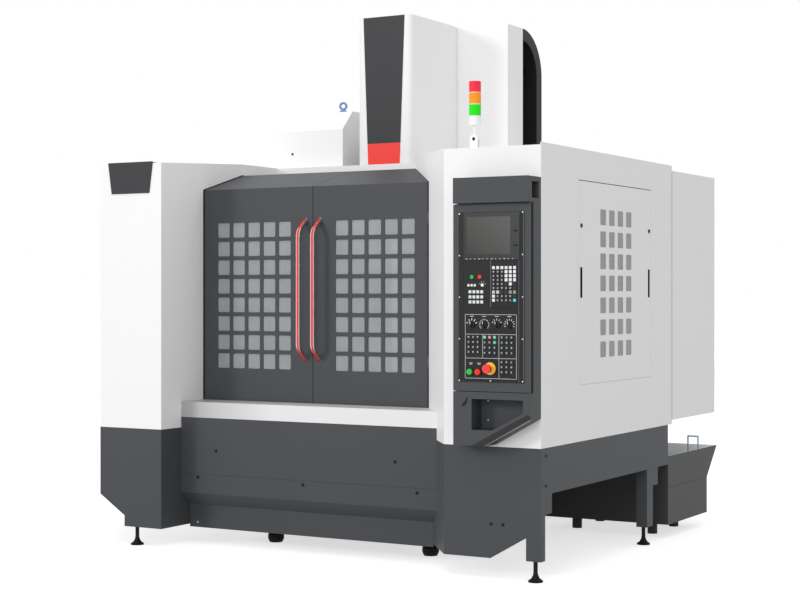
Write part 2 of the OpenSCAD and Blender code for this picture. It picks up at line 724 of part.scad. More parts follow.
// Arched cable hood beside the column, open on its right side
hood_arc = 283;
hood_band = 75;
hood_low_z = 2250;
module hood_form(inset) {
    mid = [shroud_rear_d, shroud_top_z - hood_arc];
    intersection() {
        translate(mid) circle(hood_arc - inset);
        translate(mid) square(hood_arc);
    }
    translate([shroud_rear_d, hood_low_z]) square([hood_arc - inset, mid.y - hood_low_z]);
}
module cable_hood() color(dark) at_front() {
    hood_x0 = column_w / 2 + 5;
    along_x(hood_x0, shroud_w / 2) difference() {
        hood_form(0);
        hood_form(sheet_t);
    }
    along_x(hood_x0, hood_x0 + sheet_t) hood_form(0);
    along_x(shroud_w / 2 - sheet_t, shroud_w / 2) difference() {
        hood_form(0);
        hood_form(hood_band);
    }
}

// Cover over the tool disc: bevelled at the top front and notched around the shroud
module magazine_form(t) intersection() {
    rise(roof_z - (t > 0 ? cut : 0), magazine_top_z - t) polygon([[magazine_x0 + t, magazine_d + t],
        [magazine_x1 - t, magazine_d + t], [magazine_x1 - t, shroud_d - sheet_t - t],
        [-shroud_w / 2 - sheet_t - t, shroud_d - sheet_t - t],
        [-shroud_w / 2 - sheet_t - t, magazine_rear_d - t], [magazine_x0 + t, magazine_rear_d - t]]);
    along_x(magazine_x0, magazine_x1) polygon([[magazine_d + t, 0], [magazine_rear_d, 0],
        [magazine_rear_d, magazine_top_z - t], [magazine_d + magazine_bevel + t * 0.4, magazine_top_z - t],
        [magazine_d + t, magazine_front_z - t * 0.4]]);
}
module magazine_cover() color(white) at_front() difference() {
    magazine_form(0);
    magazine_form(sheet_t);
}

// Tool changer frame: disc drive on a beam, and the arm's cam box, both on the column
beam_z = disc_z - 110;
arm_d = (spindle_d + disc_d) / 2;
arm_shaft_od = 70;
cam_box_w = 190;
cam_box_z = arm_z + 90;
disc_t = 30;
hub_l = 29;
module magazine_frame() color("slategray") at_front() {
    drive_x = disc_x - disc_t - hub_l - slide_gap;
    block([drive_x - 170, column_d + 40, beam_z], [-column_w / 2, column_d + 140, disc_z + 30]);
    block([drive_x - 170, disc_d - 100, disc_z - 90], [drive_x, column_d + 40, disc_z + 90]);
    translate([0, disc_d, disc_z]) rod_x(drive_x, disc_x, axle_od);
    difference() {
        union() {
            block([arm_x - cam_box_w / 2, arm_d - 90, cam_box_z],
                [arm_x + cam_box_w / 2, arm_d + 90, cam_box_z + 220]);
            block([arm_x - cam_box_w / 2, arm_d + 90, cam_box_z + 70],
                [arm_x - 25, column_d, cam_box_z + 210]);
        }
        translate([arm_x, arm_d, cam_box_z - cut]) cylinder(d = arm_shaft_od + 2 * run_gap, h = 130);
    }
}

// Electrical cabinet behind the right side wall, open to the rear, with hinge pins
cabinet_seam_d = cabinet_rear_d - 30;
notch_x = lining_x + 10;
cabinet_hinge_x = half_w - 11;
cabinet_hinge_d = cabinet_rear_d - 16;
hinge_od = 14;
pin_od = 8;
knuckle_l = 40;
cabinet_hinge_zs = [cabinet_low_z + 200, cabinet_top_z - 280];
module electrical_cabinet() color(white) at_front() {
    difference() {
        rise(cabinet_low_z, cabinet_top_z) polygon([
            [notch_x, side_d], [half_w, side_d], [half_w, cabinet_seam_d],
            [cabinet_in, cabinet_seam_d], [cabinet_in, lining_d + sheet_t], [notch_x, lining_d + sheet_t]]);
        block([cabinet_in + sheet_t, lining_d + 2 * sheet_t, cabinet_low_z + sheet_t],
            [side_in, cabinet_seam_d + cut, cabinet_top_z - sheet_t]);
        block([notch_x + sheet_t, side_d + sheet_t, cabinet_low_z + sheet_t],
            [side_in, lining_d + 3 * sheet_t, cabinet_top_z - sheet_t]);
    }
    for (z = cabinet_hinge_zs) {
        block([cabinet_hinge_x - 5, cabinet_seam_d - 20, z], [side_in, cabinet_hinge_d, z + knuckle_l]);
        translate([cabinet_hinge_x, cabinet_hinge_d, z]) cylinder(d = hinge_od, h = knuckle_l);
        translate([cabinet_hinge_x, cabinet_hinge_d, z]) cylinder(d = pin_od, h = 2 * knuckle_l);
    }
}

// Rear door of the electrical cabinet, a folded pan with a grip
module cabinet_door() color(white) at_front() {
    x1 = cabinet_hinge_x - 11;
    difference() {
        block([cabinet_in + sheet_t, cabinet_seam_d + panel_gap, cabinet_low_z + sheet_t],
            [x1, cabinet_rear_d, cabinet_top_z - sheet_t]);
        block([cabinet_in + 2 * sheet_t, cabinet_seam_d, cabinet_low_z + 2 * sheet_t],
            [x1 - sheet_t, cabinet_rear_d - sheet_t, cabinet_top_z - 2 * sheet_t]);
    }
    for (z = cabinet_hinge_zs) translate([0, 0, z + knuckle_l + slide_gap]) difference() {
        union() {
            block([x1 - sheet_t, cabinet_hinge_d - 5, 0],
                [cabinet_hinge_x, cabinet_hinge_d + 5, knuckle_l]);
            translate([cabinet_hinge_x, cabinet_hinge_d, 0]) cylinder(d = hinge_od, h = knuckle_l);
        }
        translate([cabinet_hinge_x, cabinet_hinge_d, -cut])
            cylinder(d = pin_od + 2 * run_gap, h = knuckle_l + 2 * cut);
    }
    translate([cabinet_in + 60, cabinet_rear_d, (cabinet_low_z + cabinet_top_z) / 2]) {
        block([-14, 0, -70], [14, 12, 70]);
    }
}

// Coolant tank on feet, with an open flared tray above its lower box
tank_foot_od = 60;
tank_foot_in = 160;
module coolant_tank() color(dark) at_front() {
    tray_rear_d = tank_rear_d + tank_flare;
    difference() {
        along_x(tank_in, half_w) polygon([[tank_d, tank_floor_z], [tank_rear_d, tank_floor_z],
            [tank_rear_d, tank_box_z], [tray_rear_d, tank_top_z], [tank_d, tank_top_z]]);
        along_x(tank_in + sheet_t, side_in) polygon([[tank_d + sheet_t, tank_box_z + sheet_t],
            [tank_rear_d, tank_box_z + sheet_t], [tray_rear_d - sheet_t, tank_top_z + cut],
            [tank_d + sheet_t, tank_top_z + cut]]);
        block([tank_in - cut, tank_rear_d - 2, tank_box_z - 1],
            [half_w + cut, tank_rear_d + cut, tank_box_z + 1]);
        block([half_w - 2, tank_d - cut, tank_box_z - 1], [half_w + cut, tank_rear_d + cut, tank_box_z + 1]);
    }
    for (x = [tank_in + tank_foot_in, half_w - tank_foot_in])
        for (d = [tank_d + tank_foot_in, tank_rear_d - tank_foot_in])
            translate([x, d, 0]) cylinder(d = tank_foot_od, h = tank_floor_z);
}

// Lifting handle that stands in the tank's tray
grip_x = half_w - 71;
grip_d = tank_rear_d - 55;
grip_w = 66;
grip_top_z = 556;
grip_od = 10;
module tank_handle() color("lightblue") at_front() translate([grip_x, grip_d, 0]) {
    for (s = [-1, 1]) translate([s * grip_w / 2, 0, 0]) {
        translate([0, 0, tank_box_z + sheet_t])
            cylinder(d = grip_od, h = grip_top_z - tank_box_z - sheet_t);
        translate([0, 0, grip_top_z]) sphere(d = grip_od);
    }
    translate([0, 0, grip_top_z]) rod_x(-grip_w / 2, grip_w / 2, grip_od);
}

// Control housing on the right cabinet: open box, hood with a side recess, and hinge pins
panel_hinge_zs = [panel_low_z + 60, panel_top_z - 150];
hood_in = 14;
module control_housing() color(dark) at_front() {
    difference() {
        union() {
            block([control_x0, -housing_reach, panel_low_z], [half_w, 0, panel_top_z]);
            block([control_x0 + hood_in, -hood_reach, panel_top_z], [half_w, 0, panel_top_z + hood_h]);
        }
        block([control_x0 + 20, -housing_reach - cut, panel_low_z + 20],
            [half_w - 20, -10, panel_top_z - 20]);
        block([half_w - 40, -hood_reach + 45, panel_top_z + 22],
            [half_w + cut, -hood_reach + 125, panel_top_z + hood_h - 25]);
    }
    for (z = panel_hinge_zs) {
        block([panel_hinge_x - 5, panel_hinge_d, z], [panel_hinge_x + 5, -housing_reach, z + knuckle_l]);
        translate([panel_hinge_x, panel_hinge_d, z]) cylinder(d = hinge_od, h = knuckle_l);
        translate([panel_hinge_x, panel_hinge_d, z]) cylinder(d = pin_od, h = 2 * knuckle_l);
    }
}

// Pocket housing below the panel, with a diagonal underside
pocket_corner_x = control_x0 + 183;
pocket_corner_z = 824;
pocket_d = 110;
pocket_in = control_x0 + 104;
module pocket_housing() color(dark) at_front() difference() {
    along_d(-panel_reach, 0) polygon([[control_x0, pocket_low_z], [pocket_corner_x, pocket_low_z],
        [half_w, pocket_corner_z], [half_w, panel_low_z], [control_x0, panel_low_z]]);
    along_d(-panel_reach - cut, pocket_d - panel_reach) polygon([[pocket_in, pocket_low_z + 80],
        [pocket_in + 115, pocket_low_z + 80], [half_w - 43, pocket_corner_z + 31],
        [half_w - 43, panel_low_z - 36], [pocket_in, panel_low_z - 36]]);
}

// One door leaf, to the right of the centre plane: bent skin with panes, flanges and rear lip
module door_leaf() {
    x0 = door_gap / 2;
    x1 = x0 + door_w;
    skin = [[door_d, door_bottom_z], [door_d, door_fold_z], [slope_d, slope_top_z]];
    flange_end = slope_d - 15;
    difference() {
        along_x(x0, x1) bent_sheet(skin, -sheet_t);
        along_d(door_d - cut, door_d + sheet_t + cut) translate([pane_mid_x, pane_mid_z])
            pane_grid(pane_cols, pane_rows, pane_pitch_x, pane_pitch_z)
                rounded_rect(pane_w, pane_h, pane_r);
    }
    for (x = [x0, x1 - sheet_t]) along_x(x, x + sheet_t)
        bent_sheet([skin[0], skin[1], [flange_end, slope_z(flange_end)]], -door_flange);
    block([x0, door_d, door_bottom_z], [x1, door_d + door_flange, door_bottom_z + sheet_t]);
    block([x0, slope_d - sheet_t, slope_top_z - 40], [x1, slope_d, slope_top_z - sheet_t / 2]);
}
module door_window() block([pane_mid_x - pane_pitch_x * (pane_cols / 2) - 5, door_d + sheet_t,
        pane_mid_z - pane_pitch_z * (pane_rows / 2) - 5],
    [pane_mid_x + pane_pitch_x * (pane_cols / 2) + 5, door_d + sheet_t + window_t,
        pane_mid_z + pane_pitch_z * (pane_rows / 2) + 5]);
// Tube handle with two bends under thin sleeves, welded to the door by its slanting ends
bend_r = 60;
sleeve_l = 8;
sleeve_t = 0.4;
module door_handle() {
    bend = atan2(handle_reach, handle_bend);
    end_l = norm([handle_reach, handle_bend]);
    bend_l = bend_r * tan(bend / 2);
    mid_z = (handle_low_z + handle_high_z) / 2;
    straight = handle_high_z - handle_bend - bend_l - mid_z;
    difference() {
        translate([handle_x, door_d - handle_reach, mid_z]) {
            translate([0, 0, -straight]) cylinder(d = handle_od, h = 2 * straight);
            for (side = [0, 1]) mirror([0, 0, side]) translate([0, bend_r, straight]) {
                translate([0, -bend_r, -sleeve_l / 2]) cylinder(d = handle_od + 2 * sleeve_t, h = sleeve_l);
                rotate([90, 0, 90]) rotate(180 - bend)
                    rotate_extrude(angle = bend) translate([bend_r, 0]) circle(d = handle_od);
                rotate([-bend, 0, 0]) translate([0, -bend_r, 0])
                    cylinder(d = handle_od, h = end_l - bend_l + handle_od);
            }
        }
        block([0, door_d, handle_low_z - 200], [door_w, door_d + 200, handle_high_z + 200]);
    }
}
module left_door() color(dark) at_front() mirror([1, 0, 0]) door_leaf();
module right_door() color(dark) at_front() door_leaf();
module left_door_window() color("lightgray", 0.6) at_front() mirror([1, 0, 0]) door_window();
module right_door_window() color("lightgray", 0.6) at_front() door_window();
module left_door_handle() color(steel) at_front() mirror([1, 0, 0]) door_handle();
module right_door_handle() color(steel) at_front() door_handle();

// Groove for a guide rail, cut into a shoe that stands on the rail's base height
module rail_groove(l) along_d(-l / 2 - cut, l / 2 + cut)
    translate([-rail_w / 2 - slide_gap, -cut]) square([rail_w + 2 * slide_gap, rail_h + slide_gap + cut]);
shoe_w = 100;
shoe_l = 160;
shoe_lift = 14;

// Saddle: long beam on four guide shoes, with the nut of the Y ballscrew
saddle_half_d = 300;
y_shoe_d = 200;
module saddle() color("#5d6166") at_front() translate([0, spindle_d, 0]) difference() {
    union() {
        block([-saddle_l / 2, -saddle_half_d, saddle_z], [saddle_l / 2, saddle_half_d, saddle_top_z]);
        for (x = [-1, 1], d = [-1, 1]) translate([x * y_way_pitch / 2, d * y_shoe_d, 0])
            block([-shoe_w / 2, -shoe_l / 2, way_top_z + shoe_lift], [shoe_w / 2, shoe_l / 2, saddle_z]);
        block([-55, -60, y_screw_z - 40], [55, 60, saddle_z]);
    }
    for (x = [-1, 1]) translate([x * y_way_pitch / 2, 0, way_top_z]) rail_groove(2 * saddle_half_d);
    translate([0, 0, y_screw_z]) rod_d(-60 - cut, 60 + cut, screw_od + 2 * slide_gap);
}

// X guide rails and X ballscrew on top of the saddle
x_way_pitch = 440;
module x_guide_rails() color(steel) at_front() for (s = [-1, 1])
    translate([0, spindle_d + s * x_way_pitch / 2, saddle_top_z])
        along_x(-saddle_l / 2 + 10, saddle_l / 2 - 10)
        rail_section();
x_block_w = 80;
module x_ballscrew() color(steel) at_front() translate([0, spindle_d, 0]) {
    end_x = saddle_l / 2 - 10;
    translate([0, 0, x_screw_z]) rod_x(-end_x, end_x, screw_od);
    for (x = [-end_x, end_x - bearing_l]) block([x, -x_block_w / 2, saddle_top_z],
        [x + bearing_l, x_block_w / 2, x_screw_z + x_block_w / 2]);
    block([end_x, -x_block_w / 2, x_screw_z - x_block_w / 2],
        [end_x + motor_l, x_block_w / 2, x_screw_z + x_block_w / 2]);
}

// Work table with T-slots on four guide shoes
slot_neck_h = 30;
slot_foot_h = 14;
x_shoe_x = 140;
module t_slot() {
    translate([-slot_w / 2, -slot_neck_h]) square([slot_w, slot_neck_h + cut]);
    translate([-slot_w * 0.85, -slot_neck_h - slot_foot_h]) square([slot_w * 1.7, slot_foot_h + cut]);
}
module table() color("#6f7376") at_front() translate([0, spindle_d, 0]) difference() {
    union() {
        along_x(-table_l / 2, table_l / 2) difference() {
            translate([-table_w / 2, table_z]) square([table_w, table_t]);
            for (i = [0 : slot_count - 1])
                translate([(i - (slot_count - 1) / 2) * slot_pitch, table_top_z]) t_slot();
        }
        for (x = [-1, 1], d = [-1, 1]) translate([x * x_shoe_x, d * x_way_pitch / 2, 0])
            block([-shoe_l / 2, -shoe_w / 2, saddle_top_z + shoe_lift], [shoe_l / 2, shoe_w / 2, table_z]);
        block([-60, -45, x_screw_z - 35], [60, 45, table_z]);
    }
    for (d = [-1, 1])
        translate([0, d * x_way_pitch / 2, saddle_top_z]) rotate(90) rail_groove(4 * x_shoe_x);
    translate([0, 0, x_screw_z]) rod_x(-60 - cut, 60 + cut, screw_od + 2 * slide_gap);
}

// Spindle head casting: neck, nose, guide shoes, nut of the Z ballscrew, cover bosses
casting_z = 1950;
casting_in = 45;
casting_front_d = head_front_d + casting_in;
back_w = 660;
back_d = column_d - rail_h - 7;
nose_od = 240;
nose_gap = 30;
back_t = 60;
back_drop = 50;
back_rise = 100;
z_nut_w = 100;
z_nut_gap = 2;
boss_d = 150;
boss_l = 60;
boss_h = 40;
z_nut_z = casting_z + 300;
low_shoe = 80;
high_shoe = 260;
screw_bore_l = 400;
module head_casting() color("#5d6166") at_front() difference() {
    union() {
        block([-neck_w / 2, casting_front_d, casting_z], [neck_w / 2, back_d - back_t, casting_top_z]);
        block([-back_w / 2, back_d - back_t, casting_z - back_drop],
            [back_w / 2, back_d, casting_top_z - back_rise]);
        translate([0, spindle_d, nose_z + nose_gap])
            cylinder(d = nose_od, h = casting_z - nose_z - nose_gap);
        for (x = [-1, 1], z = [casting_z + low_shoe, casting_top_z - high_shoe])
            translate([x * z_way_pitch / 2, 0, z])
            block([-shoe_w / 2, back_d, -shoe_l / 2], [shoe_w / 2, column_d - shoe_lift, shoe_l / 2]);
        block([-z_nut_w / 2, back_d, z_nut_z - z_nut_w / 2],
            [z_nut_w / 2, column_d - z_nut_gap, z_nut_z + z_nut_w / 2]);
        for (x = [-1, 1], z = [z_nut_z, casting_top_z - boss_l])
            translate([x * neck_w / 2, spindle_d + boss_d, z])
            block([x < 0 ? neck_w / 2 - head_w / 2 + sheet_t : -cut, -boss_l / 2, -boss_h / 2],
                [x < 0 ? cut : head_w / 2 - sheet_t - neck_w / 2, boss_l / 2, boss_h / 2]);
    }
    translate([0, spindle_d, nose_z])
        cylinder(d = spindle_od + 2 * run_gap, h = casting_top_z - nose_z + cut);
    for (x = [-1, 1]) translate([x * z_way_pitch / 2, column_d, z_nut_z]) rotate([90, 0, 0])
        rail_groove(2 * casting_top_z);
    translate([0, z_screw_d, casting_z]) cylinder(d = screw_od + 2 * slide_gap, h = screw_bore_l);
}

// White head cover with rounded front edges, and its dark and red front plates
head_corner = 36;
head_rear_d = shroud_d - sheet_t;
cover_low_z = 2150;
corner_steps = 5;
function corner_arc(mid, r, a0, a1) = [for (i = [0 : corner_steps])
    let (a = a0 + (a1 - a0) * i / corner_steps) mid + r * [cos(a), sin(a)]];
cover_path = concat([[-head_w / 2, head_rear_d]],
    corner_arc([-head_w / 2 + head_corner, head_front_d + head_corner], head_corner, 180, 270),
    corner_arc([head_w / 2 - head_corner, head_front_d + head_corner], head_corner, 270, 360),
    [[head_w / 2, head_rear_d]]);
module head_cover() color(white) at_front() {
    rise(cover_low_z, head_top_z) bent_sheet(cover_path);
    rise(head_top_z - sheet_t, head_top_z) polygon(cover_path);
}
plate_top_w = 288;
plate_taper = 0.0745;
function plate_half(z) = (plate_top_w - (head_top_z - z) * plate_taper) / 2;
module front_plate(z0, z1) along_d(head_front_d - sheet_t, head_front_d)
    polygon([[-plate_half(z0), z0], [plate_half(z0), z0], [plate_half(z1), z1], [-plate_half(z1), z1]]);
module head_front_panel() color(dark) at_front() front_plate(accent_z, head_top_z - 2);
module head_accent() color("tomato") at_front() front_plate(cover_low_z + 10, accent_z);

// Spindle drive motor with a flange and cooling ribs
motor_od = 230;
motor_h = 280;
rib_count = 7;
module spindle_motor() color("darkslategray") at_front() translate([0, spindle_d, casting_top_z]) {
    cylinder(d = motor_od, h = motor_h);
    translate([-motor_od / 2, -motor_od / 2, 0]) cube([motor_od, motor_od, 20]);
    for (i = [1 : rib_count])
        translate([0, 0, i * motor_h / (rib_count + 1)]) cylinder(d = motor_od + 16, h = 10);
}

// Spindle shaft with its nose flange, drive keys and tool taper
nose_flange_od = 150;
taper_l = 65;
taper_ratio = 7 / 24;
drawbar_od = 18;
module spindle() color(steel) at_front() translate([0, spindle_d, nose_z]) difference() {
    union() {
        cylinder(d = nose_flange_od, h = nose_gap - 2);
        cylinder(d = spindle_od, h = casting_top_z - nose_z - 10);
        for (s = [-1, 1]) translate([s * 42 - 8, -8, -8]) cube([16, 16, 9]);
    }
    translate([0, 0, -0.01]) cylinder(d1 = taper_od, d2 = taper_od - taper_l * taper_ratio, h = taper_l);
    cylinder(d = drawbar_od, h = 200);
}

// Tool disc with its ring of pots and hub
module tool_disc() color("slategray") at_front() translate([disc_x, disc_d, disc_z]) difference() {
    union() {
        rod_x(-disc_t, 0, 2 * pot_ring + 40);
        rod_x(-disc_t - hub_l, 0, 180);
        for (i = [0 : pot_count - 1]) rotate([i * 360 / pot_count, 0, 0]) translate([0, 0, pot_ring])
            rod_x(-disc_t / 2, pot_l, pot_od);
    }
    rod_x(-disc_t - hub_l - cut, cut, axle_od + 2 * run_gap);
    for (i = [0 : pot_count - 1]) rotate([i * 360 / pot_count, 0, 0]) translate([0, 0, pot_ring])
        rod_x(pot_l - 70, pot_l + cut, taper_od);
}

// Changer arm with two grippers on its shaft, parked along the depth
gripper_od = 112;
gripper_bore = 64;
arm_hub_od = 130;
arm_w = 76;
jaw_lip = 6;
shaft_in = 125;
arm_half = norm([arm_x, (disc_d - spindle_d) / 2]);
module changer_arm() color(steel) at_front() translate([arm_x, arm_d, arm_z]) {
    difference() {
        union() {
            cylinder(d = arm_hub_od, h = arm_t);
            block([-arm_w / 2, -arm_half, 0], [arm_w / 2, arm_half, arm_t]);
            for (a = [0, 180]) rotate(a) translate([0, arm_half, 0]) cylinder(d = gripper_od, h = arm_t);
        }
        for (a = [0, 180]) rotate(a) translate([0, arm_half, -cut]) {
            cylinder(d = gripper_bore, h = arm_t + 2 * cut);
            translate([0, -gripper_bore / 2 + jaw_lip, 0])
                cube([gripper_od, gripper_bore - 2 * jaw_lip, arm_t + 2 * cut]);
        }
    }
    cylinder(d = arm_shaft_od, h = cam_box_z - arm_z + shaft_in);
}

// Panel door: thin front plate, inset body and hinge knuckles
stem_bore = 8;
knob_xs = [for (i = [0 : 3]) 75 + i * 70];
start_at = [68, 51];
hold_at = [113, 51];
estop_at = [178, 69];
module on_face(at) translate([face_x0 + at.x, -panel_reach - face_t, face_z0 + at.y]) children();
module stem_holes() {
    for (x = knob_xs) on_face([x, knob_z]) rod_d(-key_h - cut, 20, stem_bore + 2 * run_gap);
    for (p = [start_at, hold_at, estop_at]) on_face(p) rod_d(-key_h - cut, 24, stem_bore + 2 * run_gap);
}
module panel_door() color(dark) at_front() {
    z0 = panel_low_z + panel_gap;
    z1 = panel_top_z - panel_gap;
    back_d = -housing_reach - 2;
    difference() {
        union() {
            block([control_x0, -panel_reach, z0], [half_w, -panel_reach + panel_plate_t, z1]);
            block([control_x0 + 20, -panel_reach + panel_plate_t, z0 + 10], [half_w - 20, back_d, z1 - 10]);
        }
        stem_holes();
    }
    for (z = panel_hinge_zs) translate([0, 0, z + knuckle_l + slide_gap]) difference() {
        union() {
            block([panel_hinge_x - 5, -panel_reach + panel_plate_t, 0],
                [panel_hinge_x + 5, panel_hinge_d, knuckle_l]);
            translate([panel_hinge_x, panel_hinge_d, 0]) cylinder(d = hinge_od, h = knuckle_l);
        }
        translate([panel_hinge_x, panel_hinge_d, -cut])
            cylinder(d = pin_od + 2 * run_gap, h = knuckle_l + 2 * cut);
    }
}

// Black panel face with the holes of its controls and the ring around the emergency stop
estop_ring_od = 62;
module panel_face() color("#1b1c1e") at_front() difference() {
    union() {
        block([face_x0, -panel_reach - face_t, face_z0],
            [face_x0 + face_w, -panel_reach, face_z0 + face_h]);
        on_face(estop_at) rod_d(-key_h, 0, estop_ring_od);
    }
    stem_holes();
}

// Screen in its raised bezel
bezel_at = [30, 614];
bezel_size = [312, 236];
module display_screen() color("#4b544e") at_front() difference() {
    on_face(bezel_at) block([0, -key_h, 0], [bezel_size.x, 0, bezel_size.y]);
    on_face(bezel_at) block([13, -key_h - cut, 28], [bezel_size.x - 51, -key_h + 1.5, bezel_size.y - 21]);
}

// Groups of keys: place of the lower left key, columns, rows, spacing and key size
key_size = 15;
key_groups = [
    [[66, 402], [4, 3], [22, 25.5]],
    [[198, 411], [6, 9], [23.3, 20.3]],
    [[58, 151], [3, 4], [25.6, 25]],
    [[148, 148], [3, 4], [27.8, 26]],
    [[244, 148], [3, 4], [27, 26]],
    [[243, 53], [3, 3], [27, 25]]
];
power_at = [[77, 528], [121, 528]];
module panel_keys() color("gainsboro") at_front() {
    for (g = key_groups, i = [0 : g[1].x - 1], j = [0 : g[1].y - 1])
        on_face(g[0] + [i * g[2].x, j * g[2].y])
            block([-key_size / 2, -key_h, -key_size / 2], [key_size / 2, 0, key_size / 2]);
    for (p = power_at) on_face(p) rod_d(-2 * key_h, 0, 20);
}

// Selector knob with a grip bar, on a stem in the panel face
module knob(i) color("gray") at_front() on_face([knob_xs[i], knob_z]) {
    rod_d(-slide_gap, 12, stem_bore);
    rod_d(-10, -slide_gap, knob_od);
    block([-4, -20, -knob_od / 2 + 2], [4, -10, knob_od / 2 - 2]);
}
module mode_knob() knob(0);
module feed_knob() knob(1);
module rapid_knob() knob(2);
module spindle_knob() knob(3);

// Push buttons on stems, standing clear of the face by their stroke
button_lift = button_stroke + key_h + 1;
module push_button(at, od, head_h) at_front() on_face(at) {
    rod_d(-button_lift, 14, stem_bore);
    rod_d(-button_lift - head_h, -button_lift, od);
}
module start_button() color("limegreen") push_button(start_at, button_od, 10);
module hold_button() color("red") push_button(hold_at, button_od, 10);
estop_neck = 24;
estop_head = 16;
module estop_button() color("red") {
    push_button(estop_at, estop_od / 2, estop_neck);
    lift = button_lift + estop_neck;
    at_front() on_face(estop_at) rod_d(-lift - estop_head, -lift, estop_od);
}

// Foot of the signal tower with a fork and its pin
fork_gap = 16;
fork_t = 8;
fork_od = 44;
tower_pin_od = 8;
module tower_bracket() color(white) at_front() translate([tower_x, tower_d, 0]) {
    translate([0, 0, roof_z]) cylinder(d = tower_od, h = 6);
    for (s = [-1, 1]) translate([0, s * (fork_gap + fork_t) / 2, 0]) {
        block([-fork_od / 2, -fork_t / 2, roof_z + 6], [fork_od / 2, fork_t / 2, knuckle_z]);
        translate([0, 0, knuckle_z]) rod_d(-fork_t / 2, fork_t / 2, fork_od);
    }
    translate([0, 0, knuckle_z]) rod_d(-fork_gap / 2 - fork_t, fork_gap / 2 + fork_t, tower_pin_od);
}

// Signal tower: folding tongue, stem, base and three lights
tower_base_z = 73;
tower_base_h = 45;
light_gap = 5;
tongue_w = fork_gap - 2 * slide_gap;
module tower_lights() color("orange") at_front() translate([tower_x, tower_d, knuckle_z]) difference() {
    union() {
        rod_d(-tongue_w / 2, tongue_w / 2, fork_od - 6);
        cylinder(d = tongue_w - 1, h = tower_base_z + 1);
        translate([0, 0, tower_base_z]) cylinder(d = tower_od, h = tower_base_h);
        for (i = [0 : 2]) translate([0, 0, tower_base_z + tower_base_h + i * (light_h + light_gap)]) {
            cylinder(d = tower_od - 6, h = light_gap);
            translate([0, 0, light_gap]) cylinder(d = tower_od, h = light_h);
        }
    }
    rod_d(-tongue_w / 2 - cut, tongue_w / 2 + cut, tower_pin_od + 2 * run_gap);
}

bed_casting();
leveling_feet();
column_casting();
guide_rails();
ballscrews();
left_cabinet();
left_side_panel();
left_skirt();
front_lower_panel();
front_sill();
door_rails();
right_cabinet();
right_lower_cabinet();
right_side_panel();
right_skirt();
roof_rim();
splash_panels();
column_shroud();
cable_hood();
magazine_cover();
magazine_frame();
electrical_cabinet();
coolant_tank();
tank_handle();
control_housing();
pocket_housing();
tower_bracket();
side_access_panel();
side_window();
cabinet_door();
left_door();
left_door_window();
left_door_handle();
right_door();
right_door_window();
right_door_handle();
saddle();
x_guide_rails();
x_ballscrew();
table();
head_casting();
head_cover();
head_front_panel();
head_accent();
spindle_motor();
spindle();
tool_disc();
changer_arm();
panel_door();
panel_face();
display_screen();
panel_keys();
mode_knob();
feed_knob();
rapid_knob();
spindle_knob();
estop_button();
start_button();
hold_button();
tower_lights();
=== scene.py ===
# %% [markdown]
# # Dressing a machining center
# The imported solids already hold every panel, casting and control. This lesson gives them their finishes,
# adds the small trim that only the eye needs, and lights the machine as the photograph does.

# %% Load the frame
import math
import bmesh
import bpy
from mathutils import Matrix, Vector


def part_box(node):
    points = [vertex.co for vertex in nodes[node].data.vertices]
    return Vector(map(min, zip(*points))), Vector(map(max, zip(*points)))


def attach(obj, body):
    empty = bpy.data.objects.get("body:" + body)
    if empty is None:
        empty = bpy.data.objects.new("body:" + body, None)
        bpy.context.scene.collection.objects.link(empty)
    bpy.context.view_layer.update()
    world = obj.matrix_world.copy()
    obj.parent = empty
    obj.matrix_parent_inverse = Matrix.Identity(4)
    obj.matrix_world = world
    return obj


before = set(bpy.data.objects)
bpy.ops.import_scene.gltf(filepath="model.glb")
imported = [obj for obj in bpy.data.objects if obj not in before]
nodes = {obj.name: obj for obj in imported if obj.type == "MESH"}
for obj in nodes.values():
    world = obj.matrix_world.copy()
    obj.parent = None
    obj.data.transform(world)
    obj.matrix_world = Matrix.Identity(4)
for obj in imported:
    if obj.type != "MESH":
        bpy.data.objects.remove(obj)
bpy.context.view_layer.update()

# %% [markdown]
# ## Writing finishes as arithmetic
# A painted panel is a colour plus small changes over its surface. Wiring each change by hand hides the idea, so one
# class wraps a socket and lets Python's operators add the Math nodes, and one method adds every other node. The
# function under that method serves the world and the Geometry Nodes trees too.


# %% One way to add a node
def feed(tree, socket, value):
    if isinstance(value, bpy.types.NodeSocket):
        tree.links.new(value, socket)
    else:
        socket.default_value = value


def tree_node(tree, kind, settings=None, inputs=None):
    node = tree.nodes.new(kind)
    for name, value in (settings or {}).items():
        setattr(node, name, value)
    for key, value in (inputs or {}).items():
        feed(tree, node.inputs[key], value)
    return node


# %% A socket that takes part in arithmetic
class Value:
    def __init__(self, finish, socket):
        self.finish, self.socket = finish, socket

    def math(self, operation, a, b=0.0):
        return self.finish.add("ShaderNodeMath", {"operation": operation}, {0: a, 1: b})

    def __add__(self, other):
        return self.math("ADD", self, other)

    def __sub__(self, other):
        return self.math("SUBTRACT", self, other)

    def __rsub__(self, other):
        return self.math("SUBTRACT", other, self)

    def __mul__(self, other):
        return self.math("MULTIPLY", self, other)

    def __truediv__(self, other):
        return self.math("DIVIDE", self, other)

    def __lt__(self, other):
        return self.math("LESS_THAN", self, other)

    def __gt__(self, other):
        return self.math("GREATER_THAN", self, other)

    def __abs__(self):
        return self.math("ABSOLUTE", self)

    __radd__, __rmul__ = __add__, __mul__


